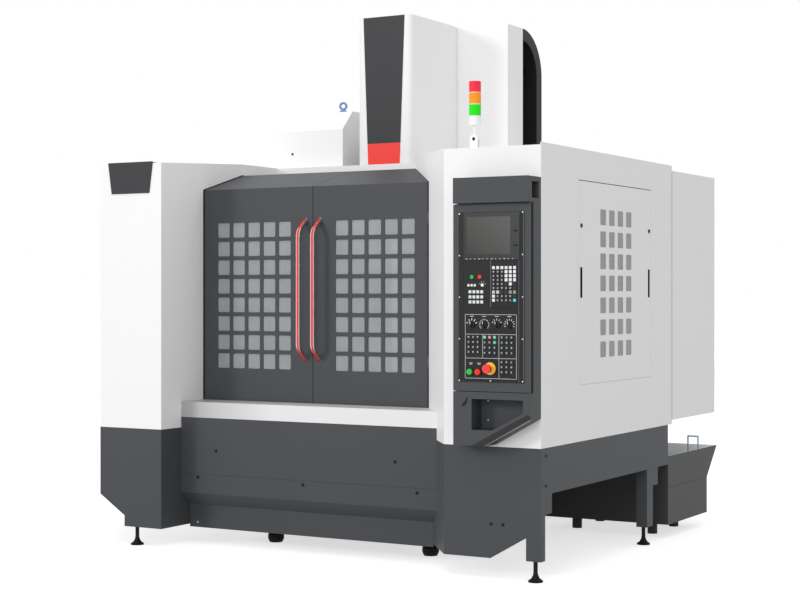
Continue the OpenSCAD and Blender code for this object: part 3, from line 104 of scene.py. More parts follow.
# %% A material that is built from expressions
class Finish:
    def __init__(self, name, colour, roughness, metallic=0.0, **constants):
        self.material = bpy.data.materials.new(name)
        self.material.use_nodes = True
        self.tree = self.material.node_tree
        self.shader = self.tree.nodes["Principled BSDF"]
        self.set("Base Color", colour)
        self.set("Roughness", roughness)
        self.set("Metallic", metallic)
        for socket, value in constants.items():
            self.set(socket.replace("_", " ").title().replace("Ior", "IOR"), value)
        self.material.diffuse_color = colour

    def add(self, kind, settings=None, inputs=None, output=0):
        plain = {key: getattr(value, "socket", value) for key, value in (inputs or {}).items()}
        return Value(self, tree_node(self.tree, kind, settings, plain).outputs[output])

    def set(self, socket, value):
        feed(self.tree, self.shader.inputs[socket], getattr(value, "socket", value))

    def place(self, axis=None):
        spot = self.add("ShaderNodeTexCoord", output="Object")
        return self.add("ShaderNodeSeparateXYZ", inputs={0: spot}, output=axis) if axis else spot

    def noise(self, scale, detail=2.0, stretch=(1, 1, 1)):
        spot = self.add("ShaderNodeMapping", inputs={"Vector": self.place(), "Scale": stretch})
        return self.add("ShaderNodeTexNoise", inputs={"Vector": spot, "Scale": scale, "Detail": detail})

    def mix(self, mask, below, above):
        return self.add("ShaderNodeMix", {"data_type": "RGBA"}, {0: mask, 6: below, 7: above}, output=2)

    def bump(self, height, distance, strength=1.0):
        self.set("Normal", self.add("ShaderNodeBump", inputs={"Height": height, "Distance": distance,
                                                              "Strength": strength}, output="Normal"))


def srgb(red, green, blue):
    return tuple(c / 12.92 if c <= 0.04045 else ((c + 0.055) / 1.055) ** 2.4
                 for c in (red / 255, green / 255, blue / 255)) + (1.0,)


def dimmed(colour, share):
    return tuple(c * share for c in colour[:3]) + (1.0,)


print("mid grey as light:", round(srgb(128, 128, 128)[0], 3))

# %% [markdown]
# ## Sheet-metal paint
# The enclosure is powder coated: white above, and a charcoal coat with a fine sandy grain below and on the doors.
# Powder coat levels out with a faint orange peel, which is a very low bump at millimetre scale. A slow change of
# colour and gloss keeps large panels from looking like paper.


# %% Powder coats
def powder_coat(name, colour, roughness, peel_scale, peel_depth, drift=0.03, **constants):
    coat = Finish(name, colour, roughness, **constants)
    slow = coat.noise(1.3, 3.0)
    coat.set("Base Color", coat.mix(slow, dimmed(colour, 1 - drift), dimmed(colour, 1 + drift)))
    coat.set("Roughness", roughness - 0.05 + slow * 0.1)
    coat.bump(coat.noise(peel_scale, 2.0), peel_depth)
    return coat


white_coat = powder_coat("white_powder_coat", (0.86, 0.86, 0.86, 1), 0.42, 260, 0.0002, 0.012,
                         specular_ior_level=0.3)
dark_coat = powder_coat("charcoal_powder_coat", (0.060, 0.063, 0.068, 1), 0.5, 900, 0.00035, 0.06,
                        specular_ior_level=0.2)
plate_coat = powder_coat("graphite_plate_coat", (0.034, 0.035, 0.037, 1), 0.45, 900, 0.0002, 0.06,
                         specular_ior_level=0.2)
hood_coat = powder_coat("black_powder_coat", (0.025, 0.025, 0.026, 1), 0.55, 900, 0.0003, 0.1,
                        specular_ior_level=0.2)
blue_gloss = powder_coat("pale_blue_gloss", srgb(150, 190, 225), 0.25, 120, 0.0002)
red_coat = powder_coat("red_gloss_paint", srgb(244, 56, 44), 0.3, 300, 0.00015, specular_ior_level=0.2)
print("coats:", [c.material.name for c in (white_coat, dark_coat, plate_coat, hood_coat, blue_gloss, red_coat)])

# %% [markdown]
# ## Castings, steel and glass
# The bed, column, saddle and head are cast iron: rough where painted, finely scored where machined. Guide rails and
# screws are ground steel, whose scratches run one way, so their noise is stretched along that way. The windows are
# grey polycarbonate: partly see-through, with a soft gloss.


# %% Castings and steels
def casting(name, colour, roughness, metallic=0.0, **constants):
    iron = Finish(name, colour, roughness, metallic, **constants)
    grit = iron.noise(140, 5.0)
    slow = iron.noise(4.0, 3.0)
    iron.set("Base Color", iron.mix(slow, dimmed(colour, 0.85), dimmed(colour, 1.1)))
    iron.set("Roughness", roughness - 0.1 + grit * 0.2)
    iron.bump(grit, 0.0009, 0.6)
    return iron


def ground_steel(name, colour, roughness, along):
    steel = Finish(name, colour, roughness, 1.0)
    scratches = steel.noise(30, 4.0, along)
    steel.set("Base Color", steel.mix(scratches, dimmed(colour, 0.85), dimmed(colour, 1.05)))
    steel.set("Roughness", roughness - 0.08 + scratches * 0.16)
    steel.bump(scratches, 0.00012, 0.4)
    return steel


black_iron = casting("black_bed_iron", (0.008, 0.008, 0.009, 1), 0.6, specular_ior_level=0.15)
grey_iron = casting("grey_painted_iron", (0.23, 0.24, 0.245, 1), 0.5)
table_iron = casting("machined_table_iron", (0.36, 0.365, 0.37, 1), 0.34, 0.9)
rail_steel = ground_steel("ground_rail_steel", (0.60, 0.61, 0.62, 1), 0.28, (20, 1, 1))
spindle_steel = ground_steel("turned_spindle_steel", (0.58, 0.58, 0.59, 1), 0.24, (1, 1, 18))
splash_steel = ground_steel("brushed_splash_sheet", (0.52, 0.53, 0.54, 1), 0.36, (1, 1, 12))
motor_coat = casting("black_motor_paint", (0.025, 0.026, 0.028, 1), 0.45)
print("metals:", [m.material.name for m in (black_iron, grey_iron, table_iron, rail_steel, splash_steel)])


# %% Chrome tube and window sheet
def chrome_tube():
    chrome = Finish("polished_chrome_tube", (0.66, 0.69, 0.73, 1), 0.1, 1.0)
    chrome.set("Roughness", 0.07 + chrome.noise(60, 3.0) * 0.08)
    return chrome


def window_sheet():
    sheet = Finish("grey_polycarbonate", srgb(160, 162, 164), 0.3)
    slow = sheet.noise(5.0, 2.0)
    sheet.set("Base Color", sheet.mix(slow, srgb(150, 152, 154), srgb(168, 170, 172)))
    sheet.set("Roughness", 0.22 + slow * 0.12)
    sheet.set("Alpha", 0.8)
    sheet.set("IOR", 1.45)
    return sheet


chrome, window = chrome_tube(), window_sheet()
print("window shows", round(1 - window.shader.inputs["Alpha"].default_value, 2), "of what is behind it")

# %% [markdown]
# ## The operator panel
# One black film carries the screen, the keys and the switches. Its keys are one solid in the frame, so their colours
# are chosen by where a point lies: a mask for each block of keys, in millimetres from the panel's lower left corner.

# %% Where things lie on the panel
panel_low, panel_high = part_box("panel_face")
FACE_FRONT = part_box("panel_keys")[1].y
key_grids = {
    "left_block": ((66, 402), (4, 3), (22, 25.5)),
    "keyboard": ((198, 411), (6, 9), (23.3, 20.3)),
    "axis_keys": ((58, 151), (3, 4), (25.6, 25)),
    "mode_keys": ((148, 148), (3, 4), (27.8, 26)),
    "jog_keys": ((244, 148), (3, 4), (27, 26)),
    "small_keys": ((243, 53), (3, 3), (27, 25)),
}


def key_at(grid, column, row):
    (x, z), _, (pitch_x, pitch_z) = key_grids[grid]
    return x + column * pitch_x, z + row * pitch_z


def on_panel(x, z, out=0.0):
    return Vector((panel_low.x + x / 1000, FACE_FRONT - out / 1000, panel_low.z + z / 1000))


print("panel face:", [round(v, 4) for v in panel_low], "to", [round(v, 4) for v in panel_high])


# %% Plastics of the panel
def moulded(name, colour, roughness=0.4, grain=0.0002):
    plastic = Finish(name, colour, roughness, specular_ior_level=0.2)
    fine = plastic.noise(1400, 2.0)
    plastic.set("Base Color", plastic.mix(plastic.noise(25), dimmed(colour, 0.93), dimmed(colour, 1.05)))
    plastic.set("Roughness", roughness - 0.04 + fine * 0.08)
    plastic.bump(fine, grain)
    return plastic


def around(finish, x, z, half_x, half_z):
    dx = abs(finish.place("X") - (panel_low.x + x / 1000)) < half_x / 1000
    dz = abs(finish.place("Z") - (panel_low.z + z / 1000)) < half_z / 1000
    return dx * dz


def keys_between(finish, grid, first, last):
    x0, z0 = key_at(grid, *first)
    x1, z1 = key_at(grid, *last)
    return around(finish, (x0 + x1) / 2, (z0 + z1) / 2, (x1 - x0) / 2 + 9, (z1 - z0) / 2 + 9)


def key_caps():
    caps = moulded("key_caps", (0.030, 0.031, 0.033, 1), 0.42)
    paint = caps.shader.inputs["Base Color"].links[0].from_socket
    colour = Value(caps, paint)
    blocks = [
        ("left_block", (0, 0), (3, 2), srgb(222, 224, 226)), ("keyboard", (0, 8), (5, 8), srgb(226, 228, 230)),
        ("keyboard", (3, 5), (5, 7), srgb(230, 232, 234)), ("keyboard", (4, 4), (4, 4), srgb(226, 228, 230)),
        ("keyboard", (0, 2), (1, 2), srgb(196, 198, 200)), ("keyboard", (4, 2), (5, 2), srgb(150, 152, 154)),
        ("keyboard", (0, 0), (0, 1), srgb(226, 228, 230)), ("keyboard", (5, 0), (5, 0), srgb(92, 205, 210)),
        ("mode_keys", (0, 3), (2, 3), srgb(70, 200, 160)), ("mode_keys", (2, 2), (2, 2), srgb(52, 190, 150)),
        ("mode_keys", (1, 3), (1, 3), srgb(238, 110, 105)),
    ]
    for grid, first, last, shade in blocks:
        colour = caps.mix(keys_between(caps, grid, first, last), colour, shade)
    colour = caps.mix(around(caps, 77, 528, 12, 12), colour, srgb(70, 170, 75))
    colour = caps.mix(around(caps, 121, 528, 12, 12), colour, srgb(232, 60, 60))
    caps.set("Base Color", colour)
    return caps


caps = key_caps()
print("key colours use", len(caps.tree.nodes), "nodes")


# %% Panel film with the yellow ring, and the screen in its bezel
def panel_film():
    film = moulded("black_panel_film", (0.012, 0.0125, 0.0135, 1), 0.38)
    ring_x, ring_z, ring_radius = panel_low.x + 0.178, panel_low.z + 0.069, 0.0312
    dx, dz = film.place("X") - ring_x, film.place("Z") - ring_z
    ring = (dx * dx + dz * dz) < ring_radius * ring_radius
    film.set("Base Color", film.mix(ring, (0.012, 0.0125, 0.0135, 1), srgb(250, 196, 60)))
    return film


def screen_glass():
    glass = Finish("screen_and_bezel", srgb(58, 60, 62), 0.35, specular_ior_level=0.3)
    middle = around(glass, 167, 736, 124, 94)
    # Screen and bezel grow lighter towards the top and the right: a painted reflection in the base colour.
    painted_glare = glass.add("ShaderNodeClamp", inputs={
        "Value": (glass.place("Z") - panel_low.z - 0.62) * 2.0 + (glass.place("X") - panel_low.x) * 1.6})
    lit = glass.mix(painted_glare, srgb(54, 54, 52), srgb(98, 99, 96))
    bezel = glass.mix(painted_glare, srgb(32, 33, 35), srgb(52, 53, 54))
    glass.set("Base Color", glass.mix(middle, bezel, lit))
    glass.set("Roughness", 0.42 - middle * 0.3)
    glass.bump(glass.noise(900) * (1 - middle), 0.0002)
    return glass


film, screen = panel_film(), screen_glass()
knob_black = moulded("knob_black_plastic", (0.018, 0.0185, 0.02, 1), 0.38)
pale_trim = moulded("pale_trim_plastic", srgb(140, 142, 146), 0.35)
stop_red = moulded("stop_button_red", srgb(240, 70, 70), 0.28)
start_green = moulded("start_button_green", srgb(50, 190, 70), 0.28)
hold_red = moulded("hold_button_red", srgb(235, 55, 50), 0.28)
print("panel finishes ready")


# %% Sill of brushed sheet, and the tank with its pale tray
def sill_sheet():
    sill = Finish("brushed_sill_sheet", (0.70, 0.70, 0.705, 1), 0.36, 0.2)
    lines = sill.noise(40, 4.0, (0.3, 8, 8))
    # The base colour runs dark at the sill's left end (x = -0.80 m) and reaches full brightness near x = -0.13 m:
    # painted shade.
    left_end, rise = -0.80, 1.5
    shade = sill.add("ShaderNodeClamp", inputs={"Value": (sill.place("X") - left_end) * rise})
    colour = sill.mix(shade, (0.34, 0.34, 0.345, 1), (0.72, 0.72, 0.725, 1))
    sill.set("Base Color", sill.mix(lines * 0.2, colour, (0.60, 0.60, 0.61, 1)))
    sill.set("Roughness", 0.3 + lines * 0.14)
    sill.bump(lines, 0.00015, 0.5)
    return sill


def tank_coat():
    coat = powder_coat("charcoal_tank_coat", (0.048, 0.049, 0.052, 1), 0.5, 900, 0.00035, 0.06,
                       specular_ior_level=0.2)
    low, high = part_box("coolant_tank")
    tray_floor, lean, wall = 0.304, 0.185, 0.003
    flare = (high.z - tray_floor) / lean
    rear = coat.place("Y") - (high.y - lean) - (coat.place("Z") - 0.300) / flare
    sides = (coat.place("X") > low.x + wall) * (coat.place("X") < high.x - wall)
    inside = sides * (coat.place("Y") > low.y + wall) * (rear < -0.0025) * (coat.place("Z") > tray_floor - 0.001)
    outer = Value(coat, coat.shader.inputs["Base Color"].links[0].from_socket)
    coat.set("Base Color", coat.mix(inside, outer, (0.80, 0.81, 0.82, 1)))
    return coat


sill_steel, tray_coat = sill_sheet(), tank_coat()
print("sill and tank:", sill_steel.material.name, tray_coat.material.name)


# %% Lights of the signal tower
def tower_bands():
    low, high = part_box("tower_lights")
    light, gap = 0.056, 0.005
    lens = Finish("tower_lens_bands", srgb(238, 238, 238), 0.3, specular_ior_level=0.2)
    height = lens.place("Z") - high.z
    colour = srgb(240, 240, 240)
    mask_all = None
    for i, shade in enumerate([srgb(250, 50, 72), srgb(255, 158, 30), srgb(36, 232, 12)]):
        top = -i * (light + gap)
        band = (height < top + 0.0001) * (height > top - light)
        colour = lens.mix(band, colour, shade)
        mask_all = band if mask_all is None else mask_all + band
    lens.set("Base Color", colour)
    rings = lens.add("ShaderNodeMath", {"operation": "SINE"}, {0: height * 2200})
    lens.bump(rings * mask_all, 0.0006, 0.5)
    return lens


tower_lens = tower_bands()
print("tower bands from the top:", "red, amber, green")

# %% [markdown]
# ## Giving each solid its finish
# Every solid keeps its shape and only gets a material in its slot. A table from finish to nodes is easier to read
# and to check than sixty separate lines.

# %% Assign the finishes
finish_of = {
    white_coat: ["left_cabinet", "left_side_panel", "right_cabinet", "right_side_panel", "roof_rim", "column_shroud",
                 "magazine_cover", "electrical_cabinet", "cabinet_door", "side_access_panel", "head_cover",
                 "tower_bracket"],
    sill_steel: ["front_sill"],
    dark_coat: ["left_skirt", "front_lower_panel", "right_lower_cabinet", "right_skirt", "control_housing",
                "pocket_housing", "left_door", "right_door", "panel_door"],
    plate_coat: ["head_front_panel"],
    tray_coat: ["coolant_tank"],
    hood_coat: ["cable_hood"],
    red_coat: ["head_accent"],
    blue_gloss: ["tank_handle"],
    black_iron: ["bed_casting", "leveling_feet"],
    grey_iron: ["column_casting", "saddle", "head_casting", "magazine_frame", "tool_disc"],
    table_iron: ["table"],
    rail_steel: ["guide_rails", "x_guide_rails", "ballscrews", "x_ballscrew", "door_rails", "changer_arm"],
    spindle_steel: ["spindle"],
    splash_steel: ["splash_panels"],
    motor_coat: ["spindle_motor"],
    chrome: ["left_door_handle", "right_door_handle"],
    window: ["left_door_window", "right_door_window", "side_window"],
    film: ["panel_face"],
    screen: ["display_screen"],
    caps: ["panel_keys"],
    knob_black: ["mode_knob", "feed_knob", "rapid_knob", "spindle_knob"],
    stop_red: ["estop_button"],
    start_green: ["start_button"],
    hold_red: ["hold_button"],
    tower_lens: ["tower_lights"],
}


def paint(name, finish):
    mesh = nodes[name].data
    mesh.materials.clear()
    mesh.materials.append(finish.material)


for finish, names in finish_of.items():
    for name in names:
        paint(name, finish)
unpainted = set(nodes) - {name for names in finish_of.values() for name in names}
print("painted", len(nodes) - len(unpainted), "solids; left over:", sorted(unpainted))

# %% [markdown]
# ## Small pieces in mesh code
# Trim such as a plate or a stripe is a few quads with softened edges. One helper turns a bmesh into a finished piece:
# it recalculates normals, names the record's material slot and makes the piece ride on its body.


# %% Turning a bmesh into a riding piece
def seat(name, mesh, body, bevel=0.0):
    thing = bpy.data.objects.new(name, mesh)
    bpy.context.scene.collection.objects.link(thing)
    if bevel:
        edge = thing.modifiers.new("soft_edges", "BEVEL")
        edge.width, edge.segments, edge.limit_method = bevel, 2, "ANGLE"
    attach(thing, body)
    return thing


def piece(name, shape, finish, body, bevel=0.0):
    mesh = bpy.data.meshes.new(name)
    bmesh.ops.remove_doubles(shape, verts=shape.verts, dist=1e-6)
    bmesh.ops.recalc_face_normals(shape, faces=shape.faces)
    shape.to_mesh(mesh)
    shape.free()
    mesh.materials.append(finish.material)
    return seat(name, mesh, body, bevel)


def slab(shape, low, high):
    made = bmesh.ops.create_cube(shape, size=1.0)["verts"]
    for v in made:
        v.co = Vector(low[i] + (v.co[i] + 0.5) * (high[i] - low[i]) for i in range(3))


def prism(shape, outline, out):
    """A flat outline and the same outline moved by out, joined by walls."""
    back = [shape.verts.new(p) for p in outline]
    front = [shape.verts.new(Vector(p) + Vector(out)) for p in outline]
    shape.faces.new(back)
    shape.faces.new(front)
    for i in range(len(outline)):
        j = (i + 1) % len(outline)
        shape.faces.new((back[i], back[j], front[j], front[i]))


print("helpers: seat, piece, slab, prism")

# %% [markdown]
# ## Plate on the left box
# A dark plate with slanting sides hangs over the top edge of the left front box. It is a bent sheet, so an outline
# with a thickness makes the front, and a second one makes the lip over the roof.


# %% Plate with its lip
def corner_plate():
    shape = bmesh.new()
    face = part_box("left_cabinet")[0].y - 0.0003
    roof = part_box("left_side_panel")[1].z - 0.013
    top, foot, under, sheet, lip_depth = roof + 0.010, 2.026, roof + 0.0003, 0.005, 0.06
    front = [(-1.152, face, top), (-0.827, face, top), (-0.852, face, foot), (-1.126, face, foot)]
    prism(shape, front, (0, -sheet, 0))
    lip = [(-1.150, face, under), (-0.829, face, under), (-0.829, face + lip_depth, under),
           (-1.150, face + lip_depth, under)]
    prism(shape, lip, (0, 0, sheet))
    return piece("corner_plate", shape, plate_coat, "machine_base", 0.0012)


print("plate:", [round(v, 3) for v in corner_plate().dimensions])

# %% [markdown]
# ## Red stripes on the door handles
# Each tube handle has a red band along its front. The band follows the tube's own path, straight with two bends, so a
# short arc is carried along the same path a little outside the tube's radius.


# %% Path of a handle and the band on it
def handle_path(low, high, radius, reach, run, bend_radius, steps=10):
    """Points (y, z) of the tube's centre line and the angle of its outer side, from low end to high end."""
    angle = math.atan2(reach, run)
    tangent = bend_radius * math.tan(angle / 2)
    middle = (low.z + high.z) / 2
    front = low.y + radius
    half = (high.z - low.z) / 2 - radius / math.sin(angle)
    straight = half - run - tangent
    upper = [(front, middle + straight * i / steps, 0.0) for i in range(steps + 1)]
    for i in range(1, steps + 1):
        a = angle * i / steps
        upper.append((front + bend_radius * (1 - math.cos(a)), middle + straight + bend_radius * math.sin(a), a))
    leg = math.hypot(reach, run) - tangent
    y, z, a = upper[-1]
    for i in range(1, 4):
        step = leg * 0.95 * i / 3
        upper.append((y + step * math.sin(a), z + step * math.cos(a), a))
    lower = [(y, 2 * middle - z, -a) for y, z, a in upper[:0:-1]]
    return lower + upper


def handle_stripe(side):
    handle = f"{side}_door_handle"
    low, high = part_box(handle)
    radius, x = (high.x - low.x) / 2, (high.x + low.x) / 2
    reach, run, bend_radius = high.y - low.y - radius, 0.065, 0.060
    path = handle_path(low, high, radius, reach, run, bend_radius)
    middle_turn, step_turn, n = 23, 3.6, 13
    shape = bmesh.new()
    rings = []
    for y, z, a in path:
        ring = []
        for lift in (0.0002, 0.0012):
            for k in range(n):
                turn = math.radians(middle_turn + (k - n // 2) * step_turn)
                out = (radius + lift) * math.cos(turn)
                ring.append(shape.verts.new((x + (radius + lift) * math.sin(turn), y - out * math.cos(a),
                                             z + out * math.sin(a))))
        rings.append(ring)
    loop = list(range(n)) + list(range(2 * n - 1, n - 1, -1))
    for one, two in zip(rings, rings[1:]):
        for i in range(len(loop)):
            p, q = loop[i], loop[(i + 1) % len(loop)]
            shape.faces.new((one[p], one[q], two[q], two[p]))
    for ring in (rings[0], rings[-1]):
        shape.faces.new([ring[i] for i in loop])
    stripe = piece(f"{side}_handle_stripe", shape, red_coat, f"{side}_door")
    for face in stripe.data.polygons:
        face.use_smooth = True
    return stripe


for side in ("left", "right"):
    print(side, "stripe:", len(handle_stripe(side).data.polygons), "faces")

# %% [markdown]
# ## Screws as a node tree
# Dozens of screw heads hold the lower panels and the film. A Geometry Nodes tree puts one head with a hexagon socket
# on each point of a mesh, so a list of places is all that each group needs. Realize Instances turns the copies into
# plain mesh, because an export drops instances.


# %% Node tree helpers
def new_tree(name, inputs):
    tree = bpy.data.node_groups.new(name, "GeometryNodeTree")
    tree.interface.new_socket("Geometry", in_out="INPUT", socket_type="NodeSocketGeometry")
    tree.interface.new_socket("Geometry", in_out="OUTPUT", socket_type="NodeSocketGeometry")
    for label, kind, value in inputs:
        socket = tree.interface.new_socket(label, in_out="INPUT", socket_type=kind)
        if value is not None:
            socket.default_value = value
    return tree, tree.nodes.new("NodeGroupInput"), tree.nodes.new("NodeGroupOutput")


def close_tree(tree, geometry, material, out):
    real = tree_node(tree, "GeometryNodeRealizeInstances", inputs={"Geometry": geometry})
    dressed = tree_node(tree, "GeometryNodeSetMaterial", inputs={"Geometry": real.outputs[0], "Material": material})
    tree.links.new(dressed.outputs[0], out.inputs[0])


def grow(name, points, tree, values, body):
    """Runs a tree on points and keeps the result as a plain mesh that rides on a body."""
    seed_mesh = bpy.data.meshes.new(name + "_points")
    seed_mesh.from_pydata([tuple(p) for p in points], [], [])
    seed = bpy.data.objects.new(name + "_points", seed_mesh)
    bpy.context.scene.collection.objects.link(seed)
    modifier = seed.modifiers.new("grow", "NODES")
    modifier.node_group = tree
    for socket in tree.interface.items_tree:
        if socket.in_out == "INPUT" and socket.name in values:
            modifier[socket.identifier] = values[socket.name]
    seed.update_tag()
    graph = bpy.context.evaluated_depsgraph_get()
    mesh = bpy.data.meshes.new_from_object(seed.evaluated_get(graph))
    mesh.name = name
    seed.modifiers.remove(modifier)
    bpy.data.objects.remove(seed)
    return seat(name, mesh, body)


def screw_tree():
    tree, given, out = new_tree("screw_heads", [
        ("Head radius", "NodeSocketFloat", 0.004), ("Head height", "NodeSocketFloat", 0.002),
        ("Facing", "NodeSocketVector", (0.0, 0.0, 0.0)), ("Finish", "NodeSocketMaterial", None)])
    head = tree_node(tree, "GeometryNodeMeshCone", inputs={
        "Vertices": 20, "Radius Top": 0.8, "Radius Bottom": 1.0, "Depth": 1.0})
    socket = tree_node(tree, "GeometryNodeMeshCylinder", inputs={"Vertices": 6, "Radius": 0.45, "Depth": 1.0})
    lifted = tree_node(tree, "GeometryNodeTransform", inputs={
        "Geometry": socket.outputs["Mesh"], "Translation": (0.0, 0.0, 0.95)})
    cut = tree_node(tree, "GeometryNodeMeshBoolean", {"operation": "DIFFERENCE", "solver": "EXACT"})
    tree.links.new(head.outputs["Mesh"], cut.inputs["Mesh 1"])
    tree.links.new(lifted.outputs[0], cut.inputs["Mesh 2"])
    size = tree_node(tree, "ShaderNodeCombineXYZ", inputs={
        "X": given.outputs["Head radius"], "Y": given.outputs["Head radius"], "Z": given.outputs["Head height"]})
    turn = tree_node(tree, "FunctionNodeEulerToRotation", inputs={"Euler": given.outputs["Facing"]})
    copies = tree_node(tree, "GeometryNodeInstanceOnPoints", inputs={
        "Points": given.outputs["Geometry"], "Instance": cut.outputs["Mesh"], "Rotation": turn.outputs[0],
        "Scale": size.outputs[0]})
    close_tree(tree, copies.outputs[0], given.outputs["Finish"], out)
    return tree


screws = screw_tree()
TO_FRONT, TO_RIGHT = (math.pi / 2, 0.0, 0.0), (0.0, math.pi / 2, 0.0)
print("screw tree inputs:", [s.name for s in screws.interface.items_tree if s.in_out == "INPUT"])

# %% [markdown]
# ## Where the screws sit
# Black button heads hold the charcoal lower panels, and small bright ones run round the panel film. A head grows
# outwards from its point, so each point lies on the sheet.


# %% Groups of screws
CLEAR = 0.0002
black_screw = moulded("black_oxide_screw", (0.010, 0.010, 0.011, 1), 0.4)
slot_black = moulded("slot_black", (0.002, 0.002, 0.002, 1), 0.8)
bright_screw = ground_steel("zinc_screw", (0.72, 0.72, 0.70, 1), 0.3, (1, 1, 1))


def heads(name, places, radius, height, facing, finish, body="machine_base"):
    """One group of screw heads. The finish decides the slot of the record's material."""
    return grow(name, places, screws, {"Head radius": radius, "Head height": height, "Facing": facing,
                                       "Finish": finish.material}, body)


def tell(label, things):
    print(label, {thing.name: len(thing.data.polygons) for thing in things}, "faces")


print("heads stand", CLEAR * 1000, "mm off their sheet")

# %% Screws of the sheet panels and the film
lower_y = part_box("front_lower_panel")[0].y - CLEAR
corner_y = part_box("right_lower_cabinet")[0].y - CLEAR
side_x, toe_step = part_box("right_skirt")[1].x + CLEAR, 0.085
lower_places = [(-0.519, 0.548), (0.664, 0.544), (-0.647, 0.392), (0.074, 0.387), (0.799, 0.385)]
film_places = [(5, 6 + 210 * i) for i in range(5)] + [(358, 8 + 210 * i) for i in range(5)] + [(180, 8)]
tell("screws:", [
    heads("lower_panel_screws", [(x, lower_y, z) for x, z in lower_places], 0.009, 0.005, TO_FRONT, black_screw),
    heads("corner_screws", [(x, corner_y, 0.279) for x in (1.335, 1.4025)], 0.008, 0.005, TO_FRONT, black_screw),
    heads("side_skirt_screws", [(side_x, -1.176, z) for z in (0.633, 0.482)], 0.008, 0.005, TO_RIGHT, black_screw),
    heads("film_screws", [on_panel(x, z, 0.2) for x, z in film_places], 0.0042, 0.002, TO_FRONT, bright_screw,
          "panel_door"),
    heads("toe_screw", [(-0.710, lower_y + toe_step, 0.120)], 0.007, 0.004, TO_FRONT, bright_screw)])

# %% [markdown]
# ## Scales round the selector knobs
# Each selector has a fan of short white strokes. Strokes on an arc repeat by a rule, so a tree samples an arc and
# puts a thin bar on each sample, turned along the radius.


# %% Tree of strokes on an arc
def stroke_tree():
    tree, given, out = new_tree("dial_strokes", [
        ("Strokes", "NodeSocketInt", 9), ("Arc radius", "NodeSocketFloat", 0.024),
        ("Half sweep", "NodeSocketFloat", 1.8), ("Stroke size", "NodeSocketVector", (0.005, 0.0012, 0.0006)),
        ("Finish", "NodeSocketMaterial", None)])
    doubled = tree_node(tree, "ShaderNodeMath", {"operation": "MULTIPLY"}, {0: given.outputs["Half sweep"], 1: 2.0})
    start = tree_node(tree, "ShaderNodeMath", {"operation": "SUBTRACT"}, {
        0: math.pi / 2, 1: given.outputs["Half sweep"]})
    arc = tree_node(tree, "GeometryNodeCurveArc", {"mode": "RADIUS"}, {
        "Resolution": given.outputs["Strokes"], "Radius": given.outputs["Arc radius"],
        "Start Angle": start.outputs[0], "Sweep Angle": doubled.outputs[0]})
    samples = tree_node(tree, "GeometryNodeCurveToPoints", {"mode": "COUNT"}, {
        "Curve": arc.outputs[0], "Count": given.outputs["Strokes"]})
    here = tree_node(tree, "GeometryNodeInputPosition")
    along = tree_node(tree, "FunctionNodeAlignRotationToVector", {"axis": "X"}, {"Vector": here.outputs[0]})
    bar = tree_node(tree, "GeometryNodeMeshCube", inputs={"Size": given.outputs["Stroke size"]})
    ring = tree_node(tree, "GeometryNodeInstanceOnPoints", inputs={
        "Points": samples.outputs["Points"], "Instance": bar.outputs["Mesh"], "Rotation": along.outputs[0]})
    flat = tree_node(tree, "GeometryNodeRealizeInstances", inputs={"Geometry": ring.outputs[0]})
    stand = tree_node(tree, "FunctionNodeEulerToRotation", inputs={"Euler": TO_FRONT})
    copies = tree_node(tree, "GeometryNodeInstanceOnPoints", inputs={
        "Points": given.outputs["Geometry"], "Instance": flat.outputs[0], "Rotation": stand.outputs[0]})
    close_tree(tree, copies.outputs[0], given.outputs["Finish"], out)
    return tree


strokes = stroke_tree()
legend = moulded("white_legend_ink", srgb(226, 228, 228), 0.5)
dials = {"mode": (5, 1.25, (0.012, 0.0038, 0.0006)), "feed": (16, 2.3, (0.007, 0.0022, 0.0006)),
         "rapid": (5, 1.1, (0.010, 0.0030, 0.0006)), "spindle": (9, 1.9, (0.010, 0.0028, 0.0006))}
for name, (count, sweep, size) in dials.items():
    low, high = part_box(f"{name}_knob")
    x = (low.x + high.x) / 2
    middle = Vector((x, FACE_FRONT - 0.00035, (low.z + high.z) / 2))
    dial = grow(f"{name}_scale", [middle], strokes,
                {"Strokes": count, "Half sweep": sweep, "Arc radius": 0.0255, "Stroke size": size,
                 "Finish": legend.material}, "panel_door")
    line = bmesh.new()
    slab(line, (x - 0.0014, low.y - 0.0006, middle.z + 0.002), (x + 0.0014, low.y - 0.0001, high.z - 0.002))
    piece(f"{name}_pointer", line, legend, f"{name}_knob")
    print(name, "scale:", len(dial.data.polygons) // 6, "strokes")

# %% [markdown]
# ## Lines on the film
# White rules frame the lower controls, and thin raised edges frame the two blocks under the screen. They are printed
# or moulded on the film, so they are slabs a fraction of a millimetre high.


# %% Frames and rules
def rule(shape, x0, z0, x1, z1, width=1.6, out=0.35):
    half = width / 2
    slab(shape, on_panel(x0 - half, z0 - half, out), on_panel(x1 + half, z1 + half, 0.05))


def border(shape, x0, x1, z0, z1, *style):
    for z in (z0, z1):
        rule(shape, x0, z, x1, z, *style)
    for x in (x0, x1):
        rule(shape, x, z0, x, z1, *style)


def on_bezel(shape, x0, x1, z, height):
    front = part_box("display_screen")[0].y
    slab(shape, (panel_low.x + x0 / 1000, front - 0.0005, panel_low.z + (z - height / 2) / 1000),
         (panel_low.x + x1 / 1000, front - 0.0001, panel_low.z + (z + height / 2) / 1000))


def film_rules():
    shape = bmesh.new()
    left, right, low, high = 38, 324, 19, 339
    border(shape, left, right, low, high)
    for z in (120, 240):
        rule(shape, left, z, right, z)
    rule(shape, 136, 120, 136, 240)
    rule(shape, 227, low, 227, 240)
    for x in (75, 145, 215, 285):
        rule(shape, x - 9, 330, x + 9, 330, 2.6)
    for x in (70, 116):
        rule(shape, x - 8, 95, x + 8, 95, 2.4)
        rule(shape, x - 6, 89, x + 6, 89, 2.4)
    return piece("film_rules", shape, legend, "panel_door")


